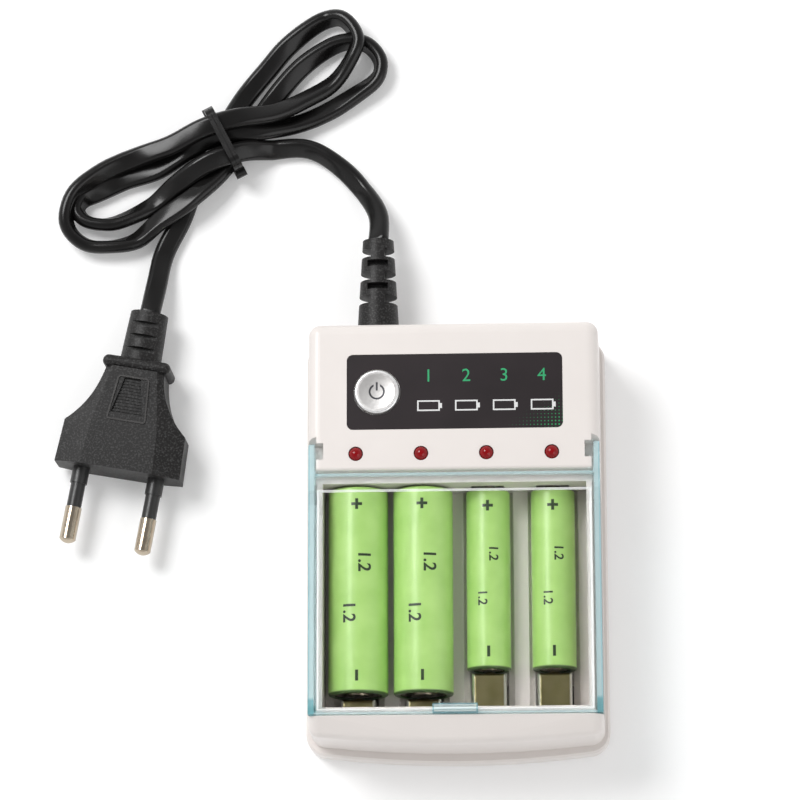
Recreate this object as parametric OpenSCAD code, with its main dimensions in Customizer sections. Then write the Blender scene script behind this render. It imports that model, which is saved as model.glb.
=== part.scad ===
// Charger for four small rechargeable cells, with its mains lead and plug.
// X runs across the housing, Y from its front to its rear, Z up. The origin is
// the centre of the underside. Cells lie along Y with their positive ends to the rear.

/* [Housing] */
// Length of the housing from the middle of its bowed front to its rear
case_l = 103.6; // [102:0.2:107]
// Width of the base shell
base_w = 72.6; // [72:0.2:78]
// Width of the top shell at the parting line
top_w = 70.2; // [69.8:0.1:71]
// Width of the top shell where its sides turn into the crown
crown_w = 69.2; // [69:0.1:69.8]
// Height of the housing at its flat top
case_h = 28; // [27.6:0.1:29]
// Height of the parting line between the two shells
parting_z = 7; // [6.6:0.1:7.4]
// How far the base shell's front is drawn back at its corners
base_bow = 2; // [1:0.1:2.4]
// How far the top shell's front is drawn back at its corners
front_bow = 1.7; // [1:0.1:2]
// How far the top shell's front stands behind the base shell's
front_step = 2.2; // [1.8:0.1:2.6]
// Height of the front edge of the nose
nose_h = 25.4; // [24:0.1:26.4]
// How far the nose leans back over its height
nose_lean = 0.3; // [0.2:0.1:0.5]
// Radius of the rounding along the crown
crown_r = 2.8; // [2.2:0.1:3.2]
// Radius of the upright corners of the top shell
corner_r = 3.6; // [3:0.1:5]
// Radius of the upright corners of the base shell
base_corner_r = 5; // [4:0.1:6]
// Bevel along the lower edge of the base shell
foot_bevel = 1; // [0.4:0.1:1.4]
// Bevel along the rim of the base shell
rim_bevel = 0.5; // [0.2:0.1:0.8]
// Wall of the top shell
wall = 1.6; // [1.4:0.1:1.8]
// Wall of the base shell
base_wall = 1.8; // [1.6:0.1:2]
// Height of the locating lip above the parting line
lip_h = 1; // [0.6:0.1:1.1]
// Thickness of the locating lip
lip_t = 0.9; // [0.7:0.1:1]
// Gap between the locating lip and the top shell
lip_gap = 0.15; // [0.1:0.05:0.3]

/* [Cells] */
// Diameter of an AA cell over its sleeve
aa_d = 14.2; // [13.8:0.1:14.5]
// Length of an AA cell over its cap
aa_l = 50.5; // [49.8:0.1:50.5]
// Diameter of an AAA cell over its sleeve
aaa_d = 10.5; // [10.1:0.1:10.5]
// Length of an AAA cell over its cap
aaa_l = 44.5; // [44.1:0.1:44.5]
// Height of the positive cap
cap_h = 1.2; // [1.1:0.1:1.4]
// Diameter of the positive cap of an AA cell
aa_cap_d = 5.2; // [4.8:0.1:5.5]
// Diameter of the positive cap of an AAA cell
aaa_cap_d = 3.6; // [3.2:0.1:3.8]
// Thickness of the sleeve
sleeve_t = 0.22; // [0.15:0.01:0.3]
// Width of the sleeve's turned-in edge
sleeve_lip = 1.3; // [0.8:0.1:1.6]

/* [Battery tray] */
// Distance between the middles of two bays
bay_pitch = 15.5; // [15.2:0.1:15.6]
// Place of the positive contacts' tips along Y
plus_y = 13.5; // [13.3:0.1:13.7]
// How far the cells' caps reach past the tray's rear wall face
cap_reach = 0.7; // [0.5:0.1:0.8]
// Place of the tray's front wall face along Y
tray_front_y = -40.7; // [-40.9:0.1:-40.4]
// Half of the tray's inner width
tray_half_w = 31.3; // [31.2:0.1:31.5]
// Thickness of the tray's side rims
rim_t = 1.3; // [1.1:0.1:1.3]
// Height of the tray's rims and of the ledge behind it
tray_rim_z = 24.5; // [24:0.1:24.8]
// Radius of the cradles
cradle_r = 7.5; // [7.4:0.1:7.6]
// Height of the cradles' lowest line
cradle_z = 9.5; // [9.4:0.1:9.8]
// Height of the dividers between the cradles above their lowest line
divider_h = 3; // [2:0.1:4]
// Floor under the cradles
tray_floor_t = 1.2; // [1:0.1:1.3]
// Thickness of the tray's rear wall
tray_rear_t = 1.3; // [1.1:0.1:1.4]
// Width of the positive windows
window_w = 7.8; // [7:0.1:8.4]
// Height of the positive windows
window_h = 8; // [7:0.1:8.4]

/* [Sliding contacts] */
// Width of a sliding contact
slider_w = 8.2; // [7.8:0.1:8.4]
// Length of a sliding contact from its tip to its tail
slider_l = 9.3; // [8.6:0.1:9.4]
// Height of a sliding contact's top face
slider_top_z = 18; // [17.4:0.1:18.4]
// Thickness of the contact sheet
sheet_t = 0.5; // [0.4:0.05:0.6]
// Radius of a sliding contact's folded edges
fold_r = 1; // [0.8:0.1:1.4]
// Height of the domed tip
dome_h = 0.6; // [0.4:0.1:0.7]
// Skin left in front of the sliding contacts' pockets
pocket_skin = 0.7; // [0.6:0.1:0.9]
// Gap between a cell's end and its sliding contact
end_gap = 0.3; // [0.2:0.05:0.4]
// Gap around a sliding contact in its window
slider_gap = 0.3; // [0.25:0.05:0.4]
// Outer diameter of the springs
spring_d = 5; // [4.4:0.1:5.4]
// Diameter of the spring wire
spring_wire_d = 0.5; // [0.4:0.05:0.6]
// Number of turns of a spring
spring_turns = 8; // [6:1:9]

/* [Lid] */
// Thickness of the lid's plate
lid_t = 1.5; // [1.3:0.1:1.6]
// Thickness of the lid's sides and arms
lid_side_t = 1.6; // [1.4:0.1:1.7]
// How far the lid's top lies below the housing's top
lid_drop = 0.2; // [0.1:0.05:0.3]
// Height of the ledges that the lid's sides rest over
side_ledge_z = 16; // [14:0.1:18]
// Gap between the lid and the housing
lid_gap = 0.3; // [0.25:0.05:0.4]
// Width of the slanted strip along the lid's rear edge
strip_w = 4.3; // [3:0.1:5]
// How far the slanted strip falls
strip_fall = 0.8; // [0.4:0.1:1]
// Place of the lid's rear edge along Y
lid_rear_y = 14.8; // [14.4:0.1:15]
// Gap between the lid's rear edge and the brow
brow_gap = 0.5; // [0.4:0.05:0.6]
// Rounding along the brow
brow_r = 0.8; // [0.6:0.1:1]
// Place of the hinge axis along Y
hinge_y = 20; // [19.8:0.1:20.2]
// Radius of the arms' round ends
arm_r = 2.1; // [1.9:0.1:2.2]
// Diameter of the hinge pins
pin_d = 2; // [1.8:0.1:2.2]
// Depth of the hinge pins' sockets
socket_depth = 1; // [0.8:0.1:1.4]
// Running gap around the hinge pins
pin_gap = 0.05; // [0.03:0.01:0.08]
// Width of the notches above the hinge pins
notch_w = 1.6; // [1.4:0.1:1.8]
// Length of the notches above the hinge pins
notch_l = 4; // [3.6:0.1:4.4]
// Width of the finger tab
tab_w = 10.6; // [8:0.1:14]
// Depth of the finger tab
tab_l = 2.3; // [1.8:0.1:3]
// Height of the finger tab above the lid
tab_h = 0.8; // [0.5:0.1:1]

/* [Label and lights] */
// Width of the label panel
label_w = 51.2; // [46:0.2:52]
// Depth of the label panel
label_l = 18.2; // [16:0.1:19]
// Place of the label panel's middle along X
label_x = 0.3; // [0:0.1:0.6]
// Place of the label panel's middle along Y
label_y = 34.3; // [34:0.1:34.6]
// Corner radius of the label panel
label_r = 1.4; // [1:0.1:2]
// Thickness of the label panel
label_t = 0.35; // [0.3:0.05:0.5]
// Gap around the label panel
label_gap = 0.1; // [0.05:0.05:0.2]
// Diameter of the power button
button_d = 10.6; // [9.6:0.1:11]
// Place of the power button along X
button_x = -18.2; // [-18.6:0.1:-17.8]
// Height of the power button above the housing's top
button_proud = 0.6; // [0.4:0.1:1]
// Travel of the power button
button_travel = 0.8; // [0.5:0.1:0.9]
// Depth of the dish in the power button
dish_depth = 0.35; // [0.2:0.05:0.5]
// Place of the lights along Y
led_y = 19.3; // [19:0.1:19.6]
// Diameter of the lights
led_d = 3.3; // [3:0.1:3.5]
// Height of the lights above the housing's top
led_proud = 0.95; // [0.6:0.05:1.2]

/* [Circuit] */
// Height of the circuit board's top face
board_z = 20; // [19.8:0.1:20.4]
// Thickness of the circuit board
board_t = 1.6; // [1:0.1:1.6]
// Width of the circuit board
board_w = 57; // [54:0.2:57]
// Depth of the circuit board
board_l = 26; // [25:0.2:26.4]
// Place of the circuit board's front edge along Y
board_y = 16.2; // [16:0.1:16.4]
// Width of the transformer's core
core_w = 24; // [20:0.2:25]
// Height of the transformer's core
core_h = 11.4; // [10:0.1:11.6]
// Thickness of the transformer's core
core_t = 8; // [7:0.1:9]
// Diameter of the filter capacitor
capacitor_d = 8; // [6.3:0.1:8.4]
// Height of the filter capacitor
capacitor_h = 11; // [9:0.1:11.6]

/* [Mains lead] */
// Width of the flat cord
cord_w = 5.2; // [5:0.1:5.4]
// Thickness of the flat cord
cord_t = 3.2; // [3:0.1:3.4]
// Place of the strain relief along X
relief_x = -18.8; // [-19.4:0.1:-18]
// Height of the strain relief's axis
relief_z = 9.5; // [9.2:0.1:10]
// Length of the strain relief outside the housing
relief_l = 24.8; // [24:0.2:27]
// Diameter of the strain relief at the housing
relief_d1 = 10.4; // [9.4:0.1:10.6]
// Diameter of the strain relief at its tip
relief_d2 = 7.6; // [7:0.1:8]
// Diameter of the strain relief's neck in the wall
relief_neck_d = 6.6; // [6:0.1:7]

/* [Plug] */
// Width of the plug at its face
plug_w = 31; // [30:0.2:32]
// Width of the plug at its shoulder
plug_shoulder_w = 30; // [29:0.2:31]
// Thickness of the plug
plug_t = 13; // [12:0.1:13.7]
// Distance from the face to the shoulder
shoulder_u = 10.5; // [9:0.1:12]
// Distance from the face to the collar
collar_u = 25; // [24:0.2:27]
// Thickness of the collar
collar_t = 3; // [2.4:0.1:3.4]
// Width of the collar
collar_w = 16.8; // [15.6:0.1:17.6]
// Distance from the face to the tip of the plug's strain relief
plug_tail_u = 40.5; // [38:0.2:42]
// Diameter of the contact pins
plug_pin_d = 4; // [3.94:0.02:4.06]
// Length of the contact pins
plug_pin_l = 19; // [18.5:0.1:19.5]
// Distance between the contact pins
plug_pin_pitch = 18.6; // [17.5:0.1:19]
// Length of the insulating sleeves
pin_sleeve_l = 10; // [9.5:0.1:10.5]
// Diameter of the insulating sleeves
pin_sleeve_d = 3.6; // [3.4:0.02:3.66]
// Wall of the insulating sleeves
pin_sleeve_t = 0.3; // [0.25:0.05:0.4]

/* [Hidden] */

$fn = 48;
// Segments of the rounded shapes that are blended into one another
blend_fn = 32;
// Overrun of every cut past the face that it leaves by
cut = 1;
// Thickness of the slices that a blended shape is stretched between
slice = 0.2;

ivory = [0.90, 0.88, 0.85];
charcoal = [0.20, 0.18, 0.19];
nickel = [0.72, 0.70, 0.66];
copper = [0.72, 0.42, 0.22];
leaf_green = [0.62, 0.80, 0.44];
jet = [0.07, 0.07, 0.07];

rear_y = case_l / 2;
front_y = -case_l / 2;
top_front_y = front_y + front_step;
tray_rear_y = plus_y - cap_reach;
rim_half_w = tray_half_w + rim_t;
divider_z = cradle_z + divider_h;
tray_bottom_z = cradle_z - tray_floor_t;
cradle_axis_z = cradle_z + cradle_r;
function bay_x(i) = (i - 1.5) * bay_pitch;

// Shares of the half width at which the bowed front is set out
bow_shares = [-1, -0.75, -0.5, -0.25, 0, 0.25, 0.5, 0.75, 1];
// How far the rear leans in over its height, and the nose stands out at its sides
rear_lean = 0.4;
nose_flare = 0.1;
function plan_posts(half_w, back, front, bow) = concat(
    [[-half_w, back], [half_w, back]],
    [for (s = bow_shares) [s * half_w, front + bow * s * s]]);

// The lid's own lines
lid_top_z = case_h - lid_drop;
lid_under_z = lid_top_z - lid_t;
lip_wall = 2.35;
well_front_y = tray_front_y - lip_wall;
lid_front_y = well_front_y + lid_gap;
lid_inner_half_w = rim_half_w + lid_gap;
lid_half_w = lid_inner_half_w + lid_side_t;
lid_bottom_z = side_ledge_z + lid_gap;
brow_y = lid_rear_y + brow_gap;
hinge_z = case_h - arm_r;
arm_under_z = hinge_z - arm_r;
arm_root_y = 12.6;
arm_foot_y = 9.4;
lip_bottom_z = tray_rim_z + lid_gap;
lip_t_front = 1.2;
side_front_rake = 1;
hinge_clear = 0.5;
lid_open_angle = 115;
notch_under = 1.4;
notch_floor_z = hinge_z - pin_d / 2 - notch_under;
cheek_half_w = 29.4;
cheek_bottom_z = arm_under_z - 2 * lid_gap - wall;

// Case screws
screw_shank_d = 2.2;
screw_head_d = 4.2;
screw_head_h = 1.6;
screw_l = 12;
screw_recess = 2.4;
screw_gap = 0.3;
post_r = 2.8;
boss_r = 3.4;
// Distance of the posts from the front and from the rear
front_post_back = 6.3;
rear_post_in = 5.5;
front_post_x = 30.4;
front_post_y = front_y + front_post_back;
rear_post_x = 29.4;
rear_post_y = rear_y - rear_post_in;
screw_places = [[-front_post_x, front_post_y], [front_post_x, front_post_y],
    [-rear_post_x, rear_post_y], [rear_post_x, rear_post_y]];

// Circuit parts that hang under the board or stand on it
board_under_z = board_z - board_t;
board_post_r = 1.8;
board_post_x = 26.4;
board_post_ys = [26.9, 40];
switch_w = 6;
switch_h = 3.4;
plunger_r = 1.65;
plunger_gap = 0.1;
plunger_sink = 2.2;
core_x = 4;
core_y = 30.4;
core_leg_w = 7;
core_window_w = 4.6;
core_window_h = 7;
winding_over = 4.2;
winding_gap = 0.15;
capacitor_x = -13;
capacitor_y = 26.4;
diode_r = 1.3;
diode_l = 4.6;
diode_pitch = 5;
diode_x = 21;
diode_y = 23.4;
lead_r = 0.35;
transistor_r = 2.3;
transistor_h = 4.4;
transistor_leg_h = 1.5;
transistor_y = 19.4;
led_leg_pitch = 2.5;
led_leg_w = 0.5;
led_body_h = 5.3;
led_flange_r = 1.95;
led_flange_h = 1;
led_gap = 0.1;

// Positive contacts
contact_t = 0.45;
contact_w = 9.4;
contact_seat = 0.05;
window_mid_z = 15.8;
plus_dome_r = 3;
slider_dome_r = 3.2;
tab_strip_w = 3.2;
tab_strip_l = 3.4;

// Negative bus strip
bus_t = 0.5;
bus_y = -45.4;
bus_low_z = 5.5;
bus_high_z = 9;
bus_tab_w = 5.4;
bus_tab_z = 16.6;
bus_rib_w = 1.6;
bus_rib_l = 3;
bus_slot_gap = 0.1;

// Feet that hold the sliding contacts down
foot_l = 3;
foot_back = 2.8;
foot_in = 1.2;
foot_drop = 0.9;
flange_bottom_z = cradle_z + 0.4;
flat_floor_half_w = 4.6;
flat_floor_y = -30.5;

wire_r = 0.9;
wire_pitch = 2.6;
// Distance of the bus wire from the locating lip
bus_wire_gap = 4.25;
// Size of a wire's elbows as a share of its radius
elbow_share = 1.06;

// A box from its low corner to its high corner
module span(low, high) {
    translate(low) cube(high - low);
}

// A copy on each side of the middle plane
module both_sides() {
    children();
    mirror([1, 0, 0]) children();
}

// A flat plate with round corners, centred on X and Y
module rounded_plate(w, l, r, h) {
    linear_extrude(h) rounded_outline(w, l, r);
}

module rounded_outline(w, l, r) {
    square([w - 2 * r, l], center = true);
    square([w, l - 2 * r], center = true);
    for (x = [-1, 1], y = [-1, 1]) translate([x * (w / 2 - r), y * (l / 2 - r)]) circle(r);
}

// A bar along Y from y1 to y2 with its outline in X and Z
module along_y(y1, y2) {
    translate([0, y2, 0]) rotate([90, 0, 0]) linear_extrude(y2 - y1) children();
}

// A bar along X from x1 to x2 with its outline in Y and Z
module along_x(x1, x2) {
    translate([x1, 0, 0]) rotate([90, 0, 90]) linear_extrude(x2 - x1) children();
}

// A round rod between two points
module rod(a, b, r) {
    d = b - a;
    len = norm(d);
    translate(a) rotate([0, acos(d.z / len), atan2(d.y, d.x)]) cylinder(r = r, h = len);
}

// Upright round post with a domed top
dome_angles = [0:360 / blend_fn:90];
module domed_post(r, low_z, top_z) {
    rotate_extrude($fn = blend_fn) polygon(concat([[0, low_z], [r, low_z]],
        [for (a = dome_angles) [r * cos(a), top_z - r + r * sin(a)]]));
}

// Outer form of the top shell, drawn in by inset and starting at low_z
module top_form(inset, low_z) {
    crown_x = crown_w / 2 - crown_r;
    foot_x = top_w / 2 - corner_r;
    hull() {
        for (p = plan_posts(foot_x, rear_y - corner_r, top_front_y + corner_r, front_bow))
            translate([p.x, p.y, low_z])
                cylinder(r = corner_r - inset, h = parting_z - low_z + slice, $fn = blend_fn);
        for (x = [-crown_x, crown_x], y = [rear_y - rear_lean - crown_r, well_front_y + wall])
            translate([x, y, 0]) domed_post(crown_r - inset, case_h - 2 * crown_r, case_h - inset);
        for (s = bow_shares)
            translate([s * (crown_x + nose_flare), top_front_y + nose_lean + crown_r + front_bow * s * s, 0])
                domed_post(crown_r - inset, nose_h - 2 * crown_r, nose_h - inset);
    }
}

// Side outline of the lid's space in the housing, with its arms, grown by gap
module lid_side_outline(gap, reach) {
    polygon([[lid_front_y - gap, lid_bottom_z - gap], [arm_foot_y, lid_bottom_z - gap],
        [arm_root_y + gap / 2, arm_under_z - gap], [hinge_y, arm_under_z - gap],
        [hinge_y, reach], [lid_front_y - gap, reach]]);
}

module screw_post(p, low_z, high_z, r) {
    translate([p.x, p.y, low_z]) cylinder(r = r, h = high_z - low_z);
}

// Solid walls of the tray before its hollows are cut
module tray_walls() {
    // Floor, sides, front and rear walls in one block that the outer form trims
    span([-base_w, well_front_y, tray_bottom_z], [base_w, tray_rear_y + tray_rear_t, tray_rim_z]);
    span([-base_w, well_front_y - wall, tray_bottom_z], [base_w, tray_front_y, case_h]);
    // Ledge and brow behind the tray
    span([-base_w, tray_rear_y, tray_rim_z - wall], [base_w, brow_y + wall, tray_rim_z]);
    span([-base_w, brow_y, tray_rim_z - wall], [base_w, brow_y + wall, case_h]);
    // Cheeks that carry the hinge sockets
    both_sides() span([cheek_half_w, tray_rear_y, cheek_bottom_z],
        [base_w, hinge_y + arm_r + hinge_clear + wall, case_h]);
}

// The room that the lid and its arms take out of the housing
module lid_room() {
    span([-base_w, well_front_y, tray_rim_z], [base_w, brow_y, case_h + cut]);
    both_sides() {
        along_x(rim_half_w, base_w) {
            lid_side_outline(lid_gap, case_h + cut);
            translate([hinge_y, hinge_z]) circle(arm_r + hinge_clear);
            translate([hinge_y, hinge_z]) square([arm_r + hinge_clear, case_h]);
            // The rear of the slot leans back with the arm of the open lid
            translate([hinge_y, hinge_z]) rotate(90 - lid_open_angle) square([arm_r + lid_gap, case_h]);
        }
        // Notch over the pin and the pin's socket
        span([rim_half_w - notch_w, hinge_y - notch_l / 2, notch_floor_z],
            [rim_half_w + cut, hinge_y + notch_l / 2, case_h + cut]);
        along_x(rim_half_w - notch_w - socket_depth, rim_half_w)
            translate([hinge_y, hinge_z]) circle(pin_d / 2 + pin_gap);
    }
}

// Round brow edge along X, as the waste that leaves it
module brow_waste() {
    along_x(-rim_half_w, rim_half_w) difference() {
        translate([brow_y - cut, case_h - brow_r]) square([cut + brow_r, cut + brow_r]);
        translate([brow_y + brow_r, case_h - brow_r]) circle(brow_r);
    }
}

// One bay of the tray: cradle, flat floor, windows and slots
module bay_hollows() {
    along_y(tray_front_y, tray_rear_y)
        translate([0, cradle_axis_z]) circle(cradle_r);
    span([-flat_floor_half_w, tray_front_y, cradle_z], [flat_floor_half_w, flat_floor_y, divider_z + cut]);
    // Window in the rear wall for the positive contact
    span([-window_w / 2, tray_rear_y - cut, window_mid_z - window_h / 2],
        [window_w / 2, tray_rear_y + tray_rear_t + cut, window_mid_z + window_h / 2]);
    // Window in the front wall and pocket in the nose for the sliding contact
    span([-slider_w / 2 - slider_gap, pocket_y, cradle_z],
        [slider_w / 2 + slider_gap, tray_front_y + cut, slider_top_z + slider_gap]);
    // Slots for the feet
    both_sides() span([slider_w / 2 - sheet_t - slider_gap, pocket_y, tray_bottom_z - cut],
        [slider_w / 2 + slider_gap, tip_y(aaa_l) - foot_back + slider_gap, cradle_z + cut]);
}

// Tip of a sliding contact that rests against a cell of length l
function tip_y(l) = plus_y - l - end_gap;
// Front of the pockets, behind the bowed nose at the outermost contact's edge
outer_edge_share = (bay_x(3) + slider_w / 2) / (top_w / 2 - corner_r);
pocket_y = top_front_y + nose_lean + front_bow * outer_edge_share * outer_edge_share + pocket_skin;

module tray_hollows() {
    span([-tray_half_w, tray_front_y, divider_z], [tray_half_w, tray_rear_y, tray_rim_z + cut]);
    for (i = [0:3]) translate([bay_x(i), 0, 0]) bay_hollows();
    // Cores beside the rims and under the dividers keep the walls even
    both_sides() span([rim_half_w, well_front_y, tray_bottom_z - cut],
        [top_w / 2 - wall, tray_rear_y, side_ledge_z - wall]);
    for (i = [0:2]) span([bay_x(i + 0.5) - wall / 2, flat_floor_y, tray_bottom_z - cut],
        [bay_x(i + 0.5) + wall / 2, tray_rear_y - wall, divider_z - tray_floor_t]);
}

module top_shell() {
    color(ivory) difference() {
        intersection() {
            top_form(0, parting_z);
            union() {
                difference() {
                    span([-base_w, -case_l, 0], [base_w, case_l, case_h + cut]);
                    top_form(wall, parting_z - cut);
                }
                tray_walls();
                for (p = screw_places) screw_post(p, parting_z + screw_gap, case_h, post_r);
                for (x = [-board_post_x, board_post_x], y = board_post_ys)
                    screw_post([x, y], board_z, case_h - wall / 2, board_post_r);
            }
        }
        lid_room();
        brow_waste();
        tray_hollows();
        for (i = [0:3]) translate([bay_x(i), led_y, case_h - 2 * wall])
            cylinder(d = led_d + 2 * led_gap, h = 2 * wall + cut);
        translate([label_x, label_y, case_h - label_t - label_drop])
            rounded_plate(label_w + 2 * label_gap, label_l + 2 * label_gap, label_r + label_gap, cut);
        translate([button_x, label_y, case_h - 2 * wall])
            cylinder(d = button_d + 2 * button_gap, h = 2 * wall + cut);
        translate([relief_x, rear_y + cut, relief_z]) rotate([90, 0, 0])
            cylinder(d = relief_neck_d + 2 * relief_gap, h = 2 * wall + cut);
        for (p = screw_places)
            translate([p.x, p.y, 0]) cylinder(d = screw_shank_d + 2 * pin_gap, h = screw_recess + screw_l);
    }
}
label_drop = 0.05;
button_gap = 0.3;
relief_gap = 0.1;

// Round posts at the plan points of the base shell between two heights
module base_ring(r, low_z, high_z) {
    for (p = plan_posts(base_w / 2 - base_corner_r, rear_y - base_corner_r,
            front_y + base_corner_r, base_bow))
        translate([p.x, p.y, low_z]) cylinder(r = r, h = high_z - low_z, $fn = blend_fn);
}

// Plan of the locating lip, inside the top shell's wall by inset
module lip_form(inset, low_z, high_z) {
    hull() for (p = plan_posts(top_w / 2 - corner_r, rear_y - corner_r,
            top_front_y + corner_r, front_bow))
        translate([p.x, p.y, low_z])
            cylinder(r = corner_r - inset, h = high_z - low_z, $fn = blend_fn);
}

module base_shell() {
    lip_low_z = parting_z - base_wall;
    lip_top_z = parting_z + lip_h;
    color(ivory) difference() {
        union() {
            difference() {
                union() {
                    hull() {
                        base_ring(base_corner_r - foot_bevel, 0, slice);
                        base_ring(base_corner_r, foot_bevel, parting_z - rim_bevel);
                        base_ring(base_corner_r - rim_bevel, parting_z - slice, parting_z);
                    }
                    lip_form(wall + lip_gap, lip_low_z, lip_top_z);
                }
                hull() base_ring(base_corner_r - base_wall, base_wall, lip_low_z);
                lip_form(wall + lip_gap + lip_t, lip_low_z - slice, lip_top_z + cut);
            }
            for (p = screw_places) screw_post(p, 0, parting_z, boss_r);
            // Ribs that hold the negative bus strip
            for (i = [0:2]) span([bay_x(i + 0.5) - bus_rib_w / 2, bus_y - bus_rib_l / 2, 0],
                [bay_x(i + 0.5) + bus_rib_w / 2, bus_y + bus_rib_l / 2, parting_z]);
        }
        for (p = screw_places) {
            translate([p.x, p.y, -cut]) cylinder(d = screw_head_d + 2 * screw_gap, h = screw_recess + cut);
            translate([p.x, p.y, -cut]) cylinder(d = screw_shank_d + 2 * screw_gap, h = parting_z + 2 * cut);
            screw_post(p, parting_z, parting_z + lip_h + cut, post_r + lip_gap);
        }
        span([-bus_half_w - cut, bus_y - bus_t / 2 - bus_slot_gap, bus_low_z],
            [bus_half_w + cut, bus_y + bus_t / 2 + bus_slot_gap, parting_z + cut]);
        translate([relief_x, rear_y + cut, relief_z]) rotate([90, 0, 0])
            cylinder(d = relief_neck_d + 2 * relief_gap, h = relief_flange_t + 2 * base_wall + cut);
        translate([relief_x, rear_y - base_wall, relief_z]) rotate([90, 0, 0])
            cylinder(d = relief_flange_d + 2 * relief_gap, h = relief_flange_t + base_wall);
        // Air slots under the transformer
        for (i = [-2:2]) translate([core_x + i * vent_pitch, core_y, -cut])
            rounded_plate(vent_w, vent_l, vent_r, base_wall + 2 * cut);
    }
}
vent_pitch = 4.5;
vent_w = 1.6;
vent_r = 0.7;
vent_l = 16;
bus_half_w = bay_x(3) + bus_tab_w / 2;

module label_panel() {
    color(charcoal) translate([label_x, label_y, case_h - label_t - label_drop]) difference() {
        rounded_plate(label_w, label_l, label_r, label_t);
        translate([button_x - label_x, 0, -cut]) cylinder(d = button_d + 2 * button_gap, h = label_t + 2 * cut);
    }
}

// Push button with a flange that keeps it in the housing and a dished cap
button_flange_t = 1;
button_flange_w = 1;
button_edge_r = 0.5;
button_stem_r = 2.4;
plunger_top_z = case_h - wall - button_gap - button_flange_t - button_gap;
module power_button() {
    r = button_d / 2;
    top_z = case_h + button_proud;
    flange_top_z = case_h - wall - button_gap;
    dish_r = (r - 2 * button_edge_r) * (r - 2 * button_edge_r) / (2 * dish_depth) + dish_depth / 2;
    color(nickel) translate([button_x, label_y, 0]) difference() {
        union() {
            rotate_extrude() {
                square([r, top_z - button_edge_r]);
                square([r - button_edge_r, top_z]);
                translate([r - button_edge_r, top_z - button_edge_r]) circle(button_edge_r);
            }
            translate([0, 0, flange_top_z - button_flange_t])
                cylinder(r = r + button_flange_w, h = button_flange_t);
        }
        translate([0, 0, top_z + dish_r - dish_depth]) sphere(dish_r, $fn = 96);
        translate([0, 0, -cut]) cylinder(r = r + button_flange_w + cut, h = plunger_top_z + cut);
        // The underside is hollow around the stem
        translate([0, 0, plunger_top_z - cut]) difference() {
            cylinder(r = r - wall, h = flange_top_z - plunger_top_z + cut);
            cylinder(r = button_stem_r, h = flange_top_z - plunger_top_z + cut);
        }
    }
}

module push_switch() {
    color(jet) translate([button_x, label_y, board_z]) difference() {
        translate([-switch_w / 2, -switch_w / 2, 0]) cube([switch_w, switch_w, switch_h]);
        translate([0, 0, plunger_gap]) cylinder(r = plunger_r + plunger_gap, h = switch_h + cut);
    }
}

module switch_plunger() {
    low_z = board_z + switch_h - plunger_sink;
    color(ivory) translate([button_x, label_y, low_z])
        cylinder(r = plunger_r, h = plunger_top_z - low_z);
}

// Indicator light with its dome above the housing
module led(i) {
    dome_r = led_d / 2;
    top_z = case_h + led_proud;
    low_z = top_z - led_body_h;
    color([0.55, 0.02, 0.05]) translate([bay_x(i), led_y, 0]) {
        rotate_extrude() {
            translate([0, low_z]) square([dome_r, led_body_h - dome_r]);
            translate([0, low_z]) square([led_flange_r, led_flange_h]);
            intersection() {
                translate([0, top_z - dome_r]) circle(dome_r);
                translate([0, low_z]) square([dome_r, led_body_h]);
            }
        }
        for (s = [-1, 1]) span([s * led_leg_pitch / 2 - led_leg_w / 2, -led_leg_w / 2, board_z],
            [s * led_leg_pitch / 2 + led_leg_w / 2, led_leg_w / 2, low_z + led_flange_h / 2]);
    }
}

// Nickel plate behind the tray's rear window, with a dome and a tab on the board
module positive_contact(i) {
    face_y = tray_rear_y + tray_rear_t + contact_seat;
    tip = plus_y + contact_seat;
    color(nickel) translate([bay_x(i), 0, 0]) {
        span([-contact_w / 2, face_y, window_mid_z - window_h / 2 - contact_t],
            [contact_w / 2, face_y + contact_t, board_z + contact_t]);
        span([-tab_strip_w / 2, face_y, board_z], [tab_strip_w / 2, face_y + tab_strip_l, board_z + contact_t]);
        intersection() {
            translate([0, tip + plus_dome_r, window_mid_z]) sphere(plus_dome_r);
            span([-window_w / 2, tip - cut, window_mid_z - window_h / 2],
                [window_w / 2, face_y + contact_t / 2, window_mid_z + window_h / 2]);
        }
    }
}

// Section of the folded channel, drawn in by inset
module channel_outline(inset) {
    w = slider_w / 2 - inset;
    r = max(fold_r - inset, sheet_t / 2);
    top = slider_top_z - inset;
    translate([-w, flange_bottom_z]) square([2 * w, top - r - flange_bottom_z]);
    translate([-w + r, flange_bottom_z]) square([2 * w - 2 * r, top - flange_bottom_z]);
    for (s = [-1, 1]) translate([s * (w - r), top - r]) circle(r);
}

// Side outline of the channel with its rounded top front edge
module channel_side(tip, tail) {
    square_y = tip - fold_r;
    translate([tail, flange_bottom_z]) square([square_y - tail, slider_top_z - flange_bottom_z]);
    translate([tail, flange_bottom_z]) square([tip - tail, slider_top_z - fold_r - flange_bottom_z]);
    translate([square_y, slider_top_z - fold_r]) circle(fold_r);
}

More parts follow.
